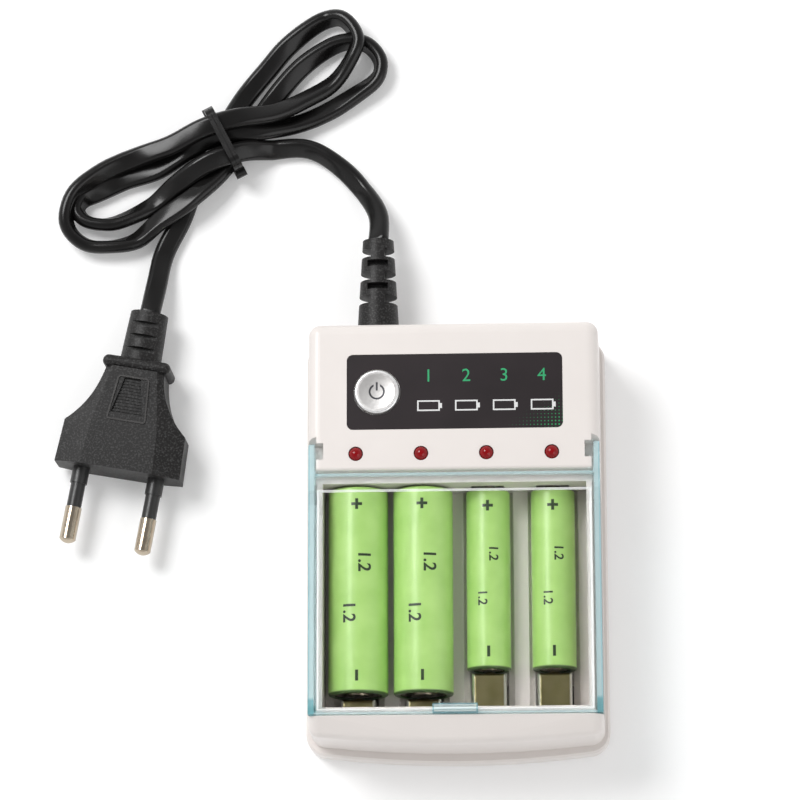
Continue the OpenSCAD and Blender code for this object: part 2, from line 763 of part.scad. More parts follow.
// Folded channel that slides over the spring, with its domed tip and two feet
module sliding_contact(i, l) {
    face_y = tip_y(l) - dome_h;
    tail = tip_y(l) - slider_l;
    foot_y = tip_y(l) - foot_back - foot_l;
    color(nickel) translate([bay_x(i), 0, 0]) {
        difference() {
            intersection() {
                along_y(tail, face_y) channel_outline(0);
                along_x(-slider_w, slider_w) channel_side(face_y, tail);
            }
            along_y(tail - cut, face_y - sheet_t) channel_outline(sheet_t);
            span([-slider_w / 2 + sheet_t, tail - cut, flange_bottom_z - cut],
                [slider_w / 2 - sheet_t, face_y - sheet_t, flange_bottom_z + cut]);
        }
        intersection() {
            translate([0, tip_y(l) - slider_dome_r, window_mid_z]) sphere(slider_dome_r);
            span([-slider_w / 2, face_y - sheet_t / 2, flange_bottom_z], [slider_w / 2, tip_y(l) + cut, slider_top_z]);
        }
        both_sides() {
            span([slider_w / 2 - sheet_t, foot_y, tray_bottom_z - foot_drop],
                [slider_w / 2, foot_y + foot_l, flange_bottom_z + sheet_t]);
            span([slider_w / 2 - foot_in, foot_y, tray_bottom_z - foot_drop],
                [slider_w / 2, foot_y + foot_l, tray_bottom_z - foot_drop + sheet_t]);
        }
    }
}

// Points of a round section of the spring wire at turn angle a
spring_sides = 5;
spring_steps = 10;
function spring_ring(t, y, r, wire) = [for (k = [0:spring_sides - 1])
    let (a = 360 * t, b = 360 * k / spring_sides, d = r + wire * cos(b))
    [d * cos(a), y + wire * sin(b), d * sin(a)]];

// Skin of a tube through rings of n points each
module skin(rings) {
    n = len(rings[0]);
    last = len(rings) - 1;
    polyhedron(points = [for (ring = rings) each ring],
        faces = concat([[for (k = [n - 1:-1:0]) k]], [[for (k = [0:n - 1]) last * n + k]],
            [for (j = [0:last - 1], k = [0:n - 1]) let (m = (k + 1) % n)
                each [[j * n + k, j * n + m, (j + 1) * n + m], [j * n + k, (j + 1) * n + m, (j + 1) * n + k]]]),
        convexity = 10);
}

// Coil spring between a sliding contact and the bus strip
module contact_spring(i, l) {
    wire = spring_wire_d / 2;
    r = spring_d / 2 - wire;
    y1 = tip_y(l) - dome_h - sheet_t - contact_seat - wire;
    y2 = bus_y + bus_t / 2 + contact_seat + wire;
    steps = spring_turns * spring_steps;
    color(nickel) translate([bay_x(i), 0, spring_axis_z])
        skin([for (j = [0:steps]) spring_ring(j / spring_steps, y1 + (y2 - y1) * j / steps, r, wire)]);
}
spring_axis_z = (cradle_z + slider_top_z) / 2;

// Stamped comb that carries the four springs
module negative_bus() {
    color(nickel) along_y(bus_y - bus_t / 2, bus_y + bus_t / 2) {
        translate([-bus_half_w, bus_low_z]) square([2 * bus_half_w, bus_high_z - bus_low_z]);
        for (i = [0:3]) translate([bay_x(i) - bus_tab_w / 2, bus_low_z])
            square([bus_tab_w, bus_tab_z - bus_low_z]);
    }
}

module circuit_board() {
    color([0.16, 0.38, 0.22])
        span([-board_w / 2, board_y, board_under_z], [board_w / 2, board_y + board_l, board_z]);
}

// Laminated core with two windows, hung under the board
module transformer_core() {
    color([0.35, 0.35, 0.37]) translate([core_x, 0, board_under_z - core_h])
        along_y(core_y - core_t / 2, core_y + core_t / 2) difference() {
            translate([-core_w / 2, 0]) square([core_w, core_h]);
            for (s = [-1, 1]) translate([s * (core_leg_w + core_window_w) / 2 - core_window_w / 2,
                (core_h - core_window_h) / 2]) square([core_window_w, core_window_h]);
        }
}

module transformer_winding() {
    w = core_leg_w + 2 * core_window_w - 2 * winding_gap;
    l = core_t + 2 * winding_over;
    h = core_window_h - 2 * winding_gap;
    color(copper) translate([core_x, core_y, board_under_z - (core_h + h) / 2]) difference() {
        rounded_plate(w, l, winding_over - winding_gap, h);
        translate([0, 0, -cut]) linear_extrude(h + 2 * cut)
            square([core_leg_w + 2 * winding_gap, core_t + 2 * winding_gap], center = true);
    }
}

module filter_capacitor() {
    color([0.12, 0.14, 0.35]) translate([capacitor_x, capacitor_y, board_under_z - capacitor_h]) difference() {
        cylinder(d = capacitor_d, h = capacitor_h);
        translate([0, 0, capacitor_h / 8]) rotate_extrude()
            translate([capacitor_d / 2 + lead_r / 2, 0]) circle(lead_r);
    }
}

// Four diodes on bent legs in a row
module rectifier_diodes() {
    axis_z = board_under_z - 2 * diode_r;
    color(jet) for (i = [0:3]) translate([diode_x, diode_y + i * diode_pitch, axis_z]) {
        translate([-diode_l / 2, 0, 0]) rotate([0, 90, 0]) cylinder(r = diode_r, h = diode_l);
        for (s = [-1, 1]) {
            rod([s * diode_l / 2 - s * lead_r, 0, 0], [s * (diode_l / 2 + diode_r), 0, 0], lead_r);
            translate([s * (diode_l / 2 + diode_r), 0, -lead_r])
                cylinder(r = lead_r, h = 2 * diode_r + lead_r);
        }
    }
}

// Four small transistors, one for each bay
module charge_transistors() {
    low_z = board_under_z - transistor_h - transistor_leg_h;
    color(jet) for (i = [0:3]) translate([bay_x(i), transistor_y, low_z]) {
        difference() {
            cylinder(r = transistor_r, h = transistor_h);
            span([-transistor_r - cut, transistor_r / 2, -cut],
                [transistor_r + cut, transistor_r + cut, transistor_h + cut]);
        }
        for (s = [-1, 0, 1]) translate([s * transistor_r / 2, 0, transistor_h / 2])
            cylinder(r = lead_r, h = transistor_h / 2 + transistor_leg_h);
    }
}

// Pan head screws from below
module case_screws() {
    color(nickel) for (p = screw_places) translate([p.x, p.y, screw_recess - screw_head_h]) difference() {
        union() {
            cylinder(d = screw_head_d, h = screw_head_h);
            cylinder(d = screw_shank_d, h = screw_l);
        }
        for (a = [0, 90]) rotate([0, 0, a]) translate([-screw_head_d / 4, -lead_r, -cut])
            cube([screw_head_d / 2, 2 * lead_r, cut + screw_head_h / 2]);
    }
}

// Two insulated wires from the strain relief up to the board
module mains_wires() {
    inner_y = rear_y - base_wall - relief_flange_t - relief_gap;
    bend_y = board_y + board_l - 2 * wire_r;
    for (s = [-1, 1]) {
        x = relief_x + s * wire_pitch / 2;
        color(s < 0 ? [0.45, 0.25, 0.12] : [0.15, 0.3, 0.65])
            wire([[x, inner_y, relief_z], [x, bend_y, relief_z], [x, bend_y, board_under_z]], wire_r);
    }
}

// A wire through a list of points
module wire(points, r) {
    last = len(points) - 1;
    for (k = [0:last - 1]) rod(points[k], points[k + 1], r);
    for (k = [1:last - 1]) translate(points[k]) sphere(r * elbow_share);
}

// One insulated wire from the bus strip along the side to the board
module bus_wire() {
    near_x = bus_half_w - wire_r;
    side_x = top_w / 2 - wall - lip_gap - lip_t - wire_r - bus_wire_gap;
    low_z = base_wall + 2 * wire_r;
    start_y = bus_y + bus_t / 2;
    color(jet) wire([[near_x, start_y, bus_low_z + wire_r],
        [near_x, start_y + wire_r, bus_low_z + wire_r],
        [side_x, start_y + 2 * bus_rib_l, low_z],
        [side_x, board_y + 2 * wire_r, low_z],
        [side_x, board_y + 2 * wire_r, board_under_z]], wire_r);
}

// Steel can of a cell with its positive cap toward the rear
can_edge_r = 0.6;
module can(x, d, l, cap_d) {
    r = d / 2 - sleeve_t - label_drop;
    axis_z = cradle_z + cell_seat + d / 2;
    body_l = l - cap_h - 2 * sleeve_t;
    color(nickel) translate([x, plus_y - l, axis_z]) rotate([-90, 0, 0]) rotate_extrude() {
        translate([0, sleeve_t]) {
            square([r - can_edge_r, body_l]);
            translate([0, can_edge_r]) square([r, body_l - 2 * can_edge_r]);
            for (y = [can_edge_r, body_l - can_edge_r]) translate([r - can_edge_r, y]) circle(can_edge_r);
        }
        square([cap_d / 2, l - can_edge_r / 2]);
        square([cap_d / 2 - can_edge_r / 2, l]);
        translate([cap_d / 2 - can_edge_r / 2, l - can_edge_r / 2]) circle(can_edge_r / 2);
    }
}
cell_seat = 0.1;

// Printed sleeve shrunk over a can and turned in at both ends
module sleeve(x, d, l) {
    r = d / 2;
    axis_z = cradle_z + cell_seat + r;
    color(leaf_green) translate([x, plus_y - l, axis_z]) rotate([-90, 0, 0]) rotate_extrude() difference() {
        union() {
            square([r - can_edge_r, l - cap_h]);
            translate([0, can_edge_r]) square([r, l - cap_h - 2 * can_edge_r]);
            for (y = [can_edge_r, l - cap_h - can_edge_r]) translate([r - can_edge_r, y]) circle(can_edge_r);
        }
        translate([-cut, -cut]) square([cut + r - sleeve_t - sleeve_lip, l + 2 * cut]);
        translate([-cut, sleeve_t - label_drop])
            square([cut + r - sleeve_t, l - cap_h - 2 * sleeve_t + 2 * label_drop]);
    }
}

// Moulded strain relief: flange inside, neck in the wall, taper outside with
// notches from the sides and pockets from above and below in turn
relief_flange_t = 2;
relief_flange_d = 9.2;
relief_tip_l = 2.6;
relief_cuts = 5;
relief_cut_pitch = 2.95;
relief_notch_l = 2.1;
relief_pocket_l = 1.6;
relief_pocket_w = 5;
relief_spine_w = 3.4;
module strain_relief() {
    inner_l = base_wall + relief_gap + relief_flange_t;
    spine = relief_spine_w / 2;
    color(jet) translate([relief_x, rear_y, relief_z]) rotate([-90, 0, 0]) {
        translate([0, 0, -inner_l]) cylinder(d = relief_flange_d, h = relief_flange_t);
        translate([0, 0, -inner_l]) cylinder(d = relief_neck_d, h = inner_l + relief_gap + cut);
        translate([0, 0, relief_gap]) difference() {
            cylinder(d1 = relief_d1, d2 = relief_d2, h = relief_l - relief_gap);
            for (i = [0:relief_cuts - 1]) translate([0, 0, relief_l - relief_tip_l - i * relief_cut_pitch]) {
                if (i % 2 == 0)
                    both_sides() span([spine, -relief_d1, -relief_notch_l], [relief_d1, relief_d1, 0]);
                else for (side = [0, 1]) mirror([0, side, 0])
                    span([-relief_pocket_w / 2, spine, -relief_pocket_l], [relief_pocket_w / 2, relief_d1, 0]);
            }
        }
    }
}

// Route of the cord: out of the strain relief, five times through the tie, into the plug
cord_points = [[-19, 84.4, 6.1], [-23, 91.9, 2.4], [-29, 98.4, 1.7], [-36.5, 102.9, 1.7],
    [-45.5, 102.9, 2.3], [-53, 101.4, 6.4], [-61.5, 98.4, 7], [-69, 93.9, 4.4], [-75.5, 88.9, 1.9],
    [-83.5, 84.9, 1.7], [-88.5, 84.2, 1.7], [-92.6, 85.4, 1.7], [-94.3, 88.2, 1.7], [-92.6, 91.1, 1.7],
    [-88.5, 93.1, 1.7], [-82.5, 95.9, 1.7], [-74, 98.4, 2.3], [-66, 102.9, 4.3], [-58.5, 106.4, 6.2],
    [-49.5, 106.9, 5.8], [-41, 108.9, 2.9], [-32.5, 112.4, 1.7], [-25, 116.9, 1.7], [-19.6, 121, 1.7],
    [-18.6, 125.6, 1.7], [-21.6, 129.8, 1.7], [-26.3, 131, 1.7], [-31.5, 129.4, 1.7],
    [-38.5, 124.4, 1.7], [-44.5, 117.4, 1.8], [-49.5, 109.9, 2.5], [-54.5, 102.4, 3.4],
    [-59.5, 95.4, 4.3], [-66, 89.4, 5.2], [-73.5, 84.4, 3.9], [-80.5, 79.4, 1.9], [-89.5, 78.4, 2.4],
    [-94.6, 80.6, 3.4], [-96.8, 85.2, 4.6], [-94.5, 91.9, 5], [-87.5, 97.4, 4.4], [-79, 100.9, 4.7],
    [-70.5, 103.4, 6.4], [-62.5, 106.9, 8.5], [-54, 109.4, 8.6], [-45, 111.4, 6.1],
    [-37.5, 115.4, 3.6], [-30, 120.4, 2.7], [-25, 127.4, 4.9], [-24.6, 132, 5], [-28.2, 136.6, 3.9],
    [-33.4, 136.4, 2], [-41.5, 130.4, 1.7], [-47, 123.9, 1.7], [-52.5, 116.9, 2], [-57, 108.9, 3.1],
    [-61, 100.9, 3.1], [-65.5, 92.9, 2.1], [-68.5, 84.9, 1.7], [-72.5, 76.4, 1.9], [-74, 67.9, 4.2]];
cord_rings = 78;
plug_angle = 10;
plug_face = [-82.4, 19.8, plug_t / 2];
function plug_place(u) = plug_face + u * [sin(plug_angle), cos(plug_angle), 0];
cord_start = [relief_x, rear_y + relief_l, relief_z];
cord_end = plug_place(plug_tail_u);
cord_route = concat([cord_start], cord_points, [cord_end]);

// Smooth curve through the route's points: at(t) for t from 0 to the last index
function clamp_at(i) = cord_route[max(0, min(len(cord_route) - 1, i))];
function blend4(a, b, c, d, t) = b + (c - a) * t / 2 + (2 * a - 5 * b + 4 * c - d) * t * t / 2
    + (3 * b - a - 3 * c + d) * t * t * t / 2;
function route_at(t) = let (i = min(floor(t), len(cord_route) - 2))
    blend4(clamp_at(i - 1), clamp_at(i), clamp_at(i + 1), clamp_at(i + 2), t - i);
function heading_at(t, j) = j == 0 ? [0, 1, 0] : j == cord_rings ? -[sin(plug_angle), cos(plug_angle), 0]
    : let (d = route_at(t + 0.02) - route_at(t - 0.02)) d / norm(d);

// Flat eight-sided section, level from side to side
section_shares = [[0.5, 0.22], [0.36, 0.5], [-0.36, 0.5], [-0.5, 0.22],
    [-0.5, -0.22], [-0.36, -0.5], [0.36, -0.5], [0.5, -0.22]];
function cord_ring(p, h) = let (side = cross(h, [0, 0, 1]) / norm(cross(h, [0, 0, 1])), up = cross(side, h))
    [for (s = section_shares) p + side * s.x * cord_w + up * s.y * cord_t];

module mains_cord() {
    last = len(cord_route) - 1;
    color(jet) skin([for (j = [0:cord_rings]) let (t = last * j / cord_rings)
        cord_ring(route_at(t), heading_at(t, j))]);
}

// Two turns of wire side by side around the bundle, with a knot at each side
tie_place = [-57.3, 103.9, 6.05];
tie_angle = 27;
tie_w = 17.3;
tie_h = 11.9;
tie_wire = 1.1;
tie_gap = 0.1;
tie_r = 2.6;
tie_knot_r = 1.2;
tie_knot_out = 0.2;
tie_knot_over = 0.25;
module cord_tie() {
    knot_l = 2 * tie_wire + tie_gap + 2 * tie_knot_over;
    color(jet) translate(tie_place) rotate([90, 0, 90 + tie_angle]) {
        for (s = [-1, 1]) translate([0, 0, s * (tie_wire + tie_gap) / 2 - tie_wire / 2])
            linear_extrude(tie_wire) difference() {
                rounded_outline(tie_w, tie_h, tie_r);
                rounded_outline(tie_w - 2 * tie_wire, tie_h - 2 * tie_wire, tie_r - tie_wire);
            }
        for (s = [-1, 1]) translate([s * (tie_w / 2 + tie_knot_out), 0, -knot_l / 2])
            cylinder(r = tie_knot_r, h = knot_l);
    }
}

// Section of the plug's body at distance u from its face
plug_edge_t = 8.2;
plug_flat_w = 18;
collar_body_w = 14.2;
collar_flat_w = 11;
collar_edge_t = 10;
module plug_section(u, w, flat_w, edge_t, t) {
    translate([0, u, 0]) rotate([90, 0, 0]) linear_extrude(slice)
        polygon([[flat_w / 2, t / 2], [w / 2, edge_t / 2], [w / 2, -edge_t / 2], [flat_w / 2, -t / 2],
            [-flat_w / 2, -t / 2], [-w / 2, -edge_t / 2], [-w / 2, edge_t / 2], [-flat_w / 2, t / 2]]);
}

// Frame of the plug: its face at the origin, its lead toward +Y
module in_plug_frame() {
    translate(plug_face) rotate([0, 0, -plug_angle]) children();
}

flare_sagitta = 1.7;
flare_gap = 0.15;
grip_l = 10.5;
grip_w1 = 5.6;
grip_w2 = 9.4;
grip_border = 0.8;
grip_depth = 0.7;
grip_ribs = 11;
grip_end_u = 23.4;
relief_groove = 1.1;
relief_groove_depth = 0.9;
relief_groove_first = 2;
relief_groove_pitch = 3.3;
tail_d = 9.8;
module plug_body() {
    dx = (plug_shoulder_w - collar_body_w) / 2;
    dy = collar_u - shoulder_u;
    chord = norm([dx, dy]);
    flare_r = chord * chord / (8 * flare_sagitta) + flare_sagitta / 2;
    mid = [(plug_shoulder_w + collar_body_w) / 4, (shoulder_u + collar_u) / 2];
    centre = mid + [dy, dx] / chord * (flare_r - flare_sagitta);
    color(jet) in_plug_frame() difference() {
        union() {
            difference() {
                hull() {
                    plug_section(slice, plug_w, plug_flat_w, plug_edge_t, plug_t);
                    plug_section(shoulder_u, plug_shoulder_w, plug_flat_w - wall, plug_edge_t, plug_t);
                    plug_section(collar_u + slice, collar_body_w, collar_flat_w, collar_edge_t, plug_t - slice);
                }
                both_sides() translate([centre.x + flare_gap, centre.y, -plug_t])
                    cylinder(r = flare_r, h = 2 * plug_t, $fn = 96);
            }
            hull() for (x = [-1, 1], z = [-1, 1])
                translate([x * (collar_w - collar_t) / 2, collar_u + collar_t / 2, z * (plug_t - collar_t) / 2])
                    sphere(collar_t / 2, $fn = 24);
            translate([0, collar_u + collar_t / 2, 0]) rotate([-90, 0, 0])
                cylinder(d1 = tail_d + sheet_t, d2 = tail_d - sheet_t, h = plug_tail_u - collar_u - collar_t / 2);
        }
        // Three grooves from above and below in the strain relief
        for (i = [0:2], s = [-1, 1])
            translate([0, collar_u + collar_t + relief_groove_first + i * relief_groove_pitch, 0])
            span([-tail_d, 0, s < 0 ? -tail_d : tail_d / 2 - relief_groove_depth - sheet_t],
                [tail_d, relief_groove, s < 0 ? -tail_d / 2 + relief_groove_depth + sheet_t : tail_d]);
        // Grip panel: a tapered recess with a raised field of ribs left inside
        for (s = [-1, 1]) mirror([0, 0, s < 0 ? 1 : 0]) grip_waste();
        // Seats of the contact pins
        for (s = [-1, 1]) translate([s * plug_pin_pitch / 2, plug_pin_seat, 0]) rotate([90, 0, 0])
            cylinder(d = plug_pin_d, h = plug_pin_seat + cut);
    }
}
plug_pin_seat = 6;

module grip_outline(inset) {
    polygon([[-grip_w1 / 2 + inset, grip_end_u - inset], [grip_w1 / 2 - inset, grip_end_u - inset],
        [grip_w2 / 2 - inset, grip_end_u - grip_l + inset], [-grip_w2 / 2 + inset, grip_end_u - grip_l + inset]]);
}

module grip_waste() {
    floor_z = plug_t / 2 - grip_depth;
    rib = (grip_l - 2 * grip_border) / (2 * grip_ribs + 1);
    translate([0, 0, floor_z]) difference() {
        linear_extrude(grip_depth + cut) grip_outline(grip_border);
        for (i = [0:grip_ribs - 1]) translate([-grip_w2, grip_end_u - grip_border - (2 * i + 2) * rib, -cut])
            cube([2 * grip_w2, rib, grip_depth + cut / 2]);
    }
}

// Contact pin with its round tip and a thinner length for its sleeve
plug_tip_l = 1;
plug_tip_r = 2.5;
module plug_pin(side) {
    r = plug_pin_d / 2;
    color(nickel) in_plug_frame() translate([side * plug_pin_pitch / 2, 0, 0]) rotate([90, 0, 0]) {
        translate([0, 0, -plug_pin_seat]) cylinder(r = r, h = plug_pin_seat);
        cylinder(d = pin_sleeve_d - 2 * pin_sleeve_t, h = pin_sleeve_l);
        translate([0, 0, pin_sleeve_l]) cylinder(r = r, h = plug_pin_l - pin_sleeve_l - plug_tip_l);
        intersection() {
            translate([0, 0, plug_pin_l - plug_tip_r]) sphere(plug_tip_r);
            translate([0, 0, plug_pin_l - plug_tip_l]) cylinder(r = r, h = 2 * plug_tip_l);
        }
    }
}

// Insulating sleeve with its wider root at the plug's face
pin_root_l = 4;
pin_root_d = 4.2;
module pin_sleeve(side) {
    color(jet) in_plug_frame() translate([side * plug_pin_pitch / 2, 0, 0]) rotate([90, 0, 0]) difference() {
        union() {
            cylinder(d = pin_sleeve_d, h = pin_sleeve_l);
            cylinder(d = pin_root_d, h = pin_root_l);
        }
        translate([0, 0, -cut]) cylinder(d = pin_sleeve_d - 2 * pin_sleeve_t, h = pin_sleeve_l + 2 * cut);
    }
}

// Clear lid: plate with a slanted rear strip, front lip, sides, arms and pins
module lid() {
    color([0.75, 0.90, 0.95, 0.45]) {
        difference() {
            union() {
                along_x(-lid_half_w, lid_half_w) polygon([[lid_front_y, lip_bottom_z], [lid_front_y, lid_top_z],
                    [lid_rear_y - strip_w, lid_top_z], [lid_rear_y - strip_w, lid_under_z],
                    [lid_front_y + lip_t_front, lid_under_z], [lid_front_y + lip_t_front, lip_bottom_z]]);
                along_x(-lid_half_w, lid_half_w) polygon([[lid_rear_y - strip_w, lid_top_z],
                    [lid_rear_y, lid_top_z - strip_fall], [lid_rear_y, lid_top_z - strip_fall - lid_t + slice],
                    [lid_rear_y - strip_w, lid_under_z]]);
                both_sides() along_x(lid_inner_half_w, lid_half_w) {
                    polygon([[lid_front_y, lip_bottom_z], [lid_front_y + side_front_rake, lid_bottom_z],
                        [arm_foot_y, lid_bottom_z], [arm_root_y, arm_under_z], [hinge_y, arm_under_z],
                        [hinge_y, case_h], [lid_rear_y - strip_w, case_h],
                        [lid_rear_y - strip_w - strip_fall, lid_top_z], [lid_front_y, lid_top_z]]);
                    translate([hinge_y, hinge_z]) circle(arm_r);
                }
                both_sides() along_x(rim_half_w - notch_w - socket_depth + lid_gap, lid_inner_half_w + slice)
                    translate([hinge_y, hinge_z]) circle(pin_d / 2);
                span([-tab_w / 2, lid_front_y + lid_gap, lid_under_z],
                    [tab_w / 2, lid_front_y + lid_gap + tab_l, lid_top_z + tab_h]);
            }
            for (i = [0:2]) span([-tab_w / 2 - cut, lid_front_y + lid_gap + tab_groove * (2 * i + 1), lid_top_z + tab_h / 2],
                [tab_w / 2 + cut, lid_front_y + lid_gap + tab_groove * (2 * i + 2), lid_top_z + tab_h + cut]);
        }
    }
}
tab_groove = 0.33;

base_shell();
top_shell();
label_panel();
power_button();
lid();
led(0);  // led_1
led(1);  // led_2
led(2);  // led_3
led(3);  // led_4
positive_contact(0);  // positive_contact_1
positive_contact(1);  // positive_contact_2
positive_contact(2);  // positive_contact_3
positive_contact(3);  // positive_contact_4
sliding_contact(0, aa_l);  // sliding_contact_1
sliding_contact(1, aa_l);  // sliding_contact_2
sliding_contact(2, aaa_l);  // sliding_contact_3
sliding_contact(3, aaa_l);  // sliding_contact_4
contact_spring(0, aa_l);  // contact_spring_1
contact_spring(1, aa_l);  // contact_spring_2
contact_spring(2, aaa_l);  // contact_spring_3
contact_spring(3, aaa_l);  // contact_spring_4
negative_bus();
circuit_board();
transformer_core();
transformer_winding();
filter_capacitor();
rectifier_diodes();
charge_transistors();
push_switch();
switch_plunger();
case_screws();
mains_wires();
bus_wire();
can(bay_x(0), aa_d, aa_l, aa_cap_d);  // aa_can_1
can(bay_x(1), aa_d, aa_l, aa_cap_d);  // aa_can_2
sleeve(bay_x(0), aa_d, aa_l);  // aa_sleeve_1
sleeve(bay_x(1), aa_d, aa_l);  // aa_sleeve_2
can(bay_x(2), aaa_d, aaa_l, aaa_cap_d);  // aaa_can_1
can(bay_x(3), aaa_d, aaa_l, aaa_cap_d);  // aaa_can_2
sleeve(bay_x(2), aaa_d, aaa_l);  // aaa_sleeve_1
sleeve(bay_x(3), aaa_d, aaa_l);  // aaa_sleeve_2
strain_relief();
mains_cord();
cord_tie();
plug_body();
plug_pin(-1);  // plug_pin_1
plug_pin(1);  // plug_pin_2
pin_sleeve(-1);  // pin_sleeve_1
pin_sleeve(1);  // pin_sleeve_2
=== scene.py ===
"""Mains charger for four small cells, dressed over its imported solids."""
import logging
import math
from dataclasses import dataclass, field
from enum import Enum

import bmesh
import bpy
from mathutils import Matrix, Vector


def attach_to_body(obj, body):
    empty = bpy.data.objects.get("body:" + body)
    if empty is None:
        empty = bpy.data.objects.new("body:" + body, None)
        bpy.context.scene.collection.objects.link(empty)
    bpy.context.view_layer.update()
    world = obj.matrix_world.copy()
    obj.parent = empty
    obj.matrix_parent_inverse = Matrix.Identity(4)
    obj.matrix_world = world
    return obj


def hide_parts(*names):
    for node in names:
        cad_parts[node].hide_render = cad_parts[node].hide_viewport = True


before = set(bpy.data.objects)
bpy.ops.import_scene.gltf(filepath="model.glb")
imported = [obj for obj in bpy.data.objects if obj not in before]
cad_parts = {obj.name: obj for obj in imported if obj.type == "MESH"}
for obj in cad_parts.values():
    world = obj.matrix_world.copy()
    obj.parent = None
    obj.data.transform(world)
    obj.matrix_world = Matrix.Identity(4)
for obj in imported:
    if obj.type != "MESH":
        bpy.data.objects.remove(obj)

LOG = logging.getLogger("charger")
MM = 0.001
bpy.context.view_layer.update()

Socket = bpy.types.NodeSocket
Colour = tuple[float, float, float]
Point = tuple[float, float, float]

BODY = "charger"
NOISE_SPAN = (0.3, 0.7)

# Tray, label and plug, in millimetres and degrees
BAYS = 4
BAY_PITCH = 15.5
LABEL_TOP = 27.95
PLUG_FACE: Point = (-82.4, 19.8, 6.5)
PLUG_ANGLE = 10.0


class Slot(Enum):
    """Material slots of the record, by name."""

    VINYL = "black_vinyl"
    LABEL = "panel"
    SLEEVE = "cell_sleeve"


class Graph:
    """Node tree of one material, with short makers for its nodes."""

    def __init__(self, name: str) -> None:
        """Start a material with a Principled shader.

        Args:
            name: name of the new material.
        """
        self.material = bpy.data.materials.new(name)
        self.material.use_nodes = True
        self.tree = self.material.node_tree
        self.shader = self.tree.nodes["Principled BSDF"]
        coords = self.tree.nodes.new("ShaderNodeTexCoord")
        self.place = coords.outputs["Object"]
        split = self.tree.nodes.new("ShaderNodeSeparateXYZ")
        self.tree.links.new(self.place, split.inputs[0])
        self.x, self.y, self.z = (split.outputs[axis] for axis in ("X", "Y", "Z"))

    def node(self, kind: str, **settings: object) -> bpy.types.Node:
        """Add a node.

        Args:
            kind: Blender's node type.
            settings: properties to set on it.

        Returns:
            The new node.
        """
        made = self.tree.nodes.new(kind)
        for key, value in settings.items():
            setattr(made, key, value)
        return made

    def feed(self, socket: Socket, value: "Socket | float | Colour") -> None:
        """Link or set an input.

        Args:
            socket: input to fill.
            value: output socket to link, or a plain value.
        """
        if isinstance(value, bpy.types.NodeSocket):
            self.tree.links.new(value, socket)
        elif isinstance(value, tuple) and len(value) == 3 and len(socket.default_value) == 4:
            socket.default_value = (*value, 1.0)
        else:
            socket.default_value = value

    def math(self, operation: str, *values: "Socket | float", clamp: bool = False) -> Socket:
        """Add a Math node.

        Args:
            operation: its operation.
            values: its inputs in order.
            clamp: whether the result is kept between 0 and 1.

        Returns:
            Its output.
        """
        made = self.node("ShaderNodeMath", operation=operation, use_clamp=clamp)
        for socket, value in zip(made.inputs, values):
            self.feed(socket, value)
        return made.outputs[0]

    def band(self, value: Socket, low: float, high: float, soft: float) -> Socket:
        """Mask of the values between two limits.

        Args:
            value: what is measured.
            low: lower limit.
            high: upper limit.
            soft: width over which the mask fades in and out.

        Returns:
            1 inside the limits and 0 outside.
        """
        middle, half = (low + high) / 2, (high - low) / 2
        away = self.math("ABSOLUTE", self.math("SUBTRACT", value, middle))
        return self.math("DIVIDE", self.math("SUBTRACT", half + soft / 2, away), soft, clamp=True)

    def stripe(self, value: Socket, middle: float, half: float, soft: float) -> Socket:
        """Mask of the values near a middle, with half its width given."""
        return self.band(value, middle - half, middle + half, soft)

    def length(self, across: Socket, along: Socket) -> Socket:
        """Distance from the origin of two measures.

        Args:
            across: the first measure.
            along: the second measure.

        Returns:
            Root of the sum of their squares.
        """
        squares = (self.math("MULTIPLY", side, side) for side in (across, along))
        return self.math("SQRT", self.math("ADD", *squares))

    def both(self, *masks: Socket) -> Socket:
        """Mask where all the masks hold.

        Args:
            masks: what has to hold.

        Returns:
            Their product.
        """
        result = masks[0]
        for mask in masks[1:]:
            result = self.math("MULTIPLY", result, mask)
        return result

    def either(self, *masks: Socket) -> Socket:
        """Mask where any of the masks holds.

        Args:
            masks: what may hold.

        Returns:
            The highest of them.
        """
        result = masks[0]
        for mask in masks[1:]:
            result = self.math("MAXIMUM", result, mask)
        return result

    def mix(self, share: "Socket | float", first: "Socket | Colour", second: "Socket | Colour") -> Socket:
        """Blend two colours.

        Args:
            share: how much of the second shows.
            first: colour at 0.
            second: colour at 1.

        Returns:
            The blended colour.
        """
        made = self.node("ShaderNodeMix", data_type="RGBA")
        self.feed(made.inputs["Factor"], share)
        self.feed(made.inputs[6], first)
        self.feed(made.inputs[7], second)
        return made.outputs[2]

    def noise(self, size: float, detail: float = 2.0) -> Socket:
        """Noise with features of about a given size.

        Args:
            size: size of its features in metres.
            detail: number of finer octaves.

        Returns:
            Values around 0.5.
        """
        made = self.node("ShaderNodeTexNoise")
        self.feed(made.inputs["Vector"], self.place)
        made.inputs["Scale"].default_value = 1 / size
        made.inputs["Detail"].default_value = detail
        return made.outputs["Fac"]

    def spread(self, value: Socket, low: float, high: float) -> Socket:
        """Stretch noise to a range.

        Args:
            value: values around 0.5.
            low: result at the lower end of NOISE_SPAN.
            high: result at its upper end.

        Returns:
            The stretched values.
        """
        made = self.node("ShaderNodeMapRange")
        for socket, number in zip(made.inputs[1:5], (*NOISE_SPAN, low, high)):
            socket.default_value = number
        self.feed(made.inputs[0], value)
        return made.outputs[0]

    def bump(self, height: Socket, depth: float) -> None:
        """Give the shader a bump.

        Args:
            height: relief between 0 and 1.
            depth: height of the relief in metres.
        """
        made = self.node("ShaderNodeBump")
        made.inputs["Distance"].default_value = depth
        made.inputs["Strength"].default_value = 1.0
        self.feed(made.inputs["Height"], height)
        self.feed(self.shader.inputs["Normal"], made.outputs[0])

    def set(self, **values: "Socket | float | Colour") -> None:
        """Fill inputs of the shader, named with underscores for spaces."""
        for key, value in values.items():
            self.feed(self.shader.inputs[key.replace("_", " ")], value)


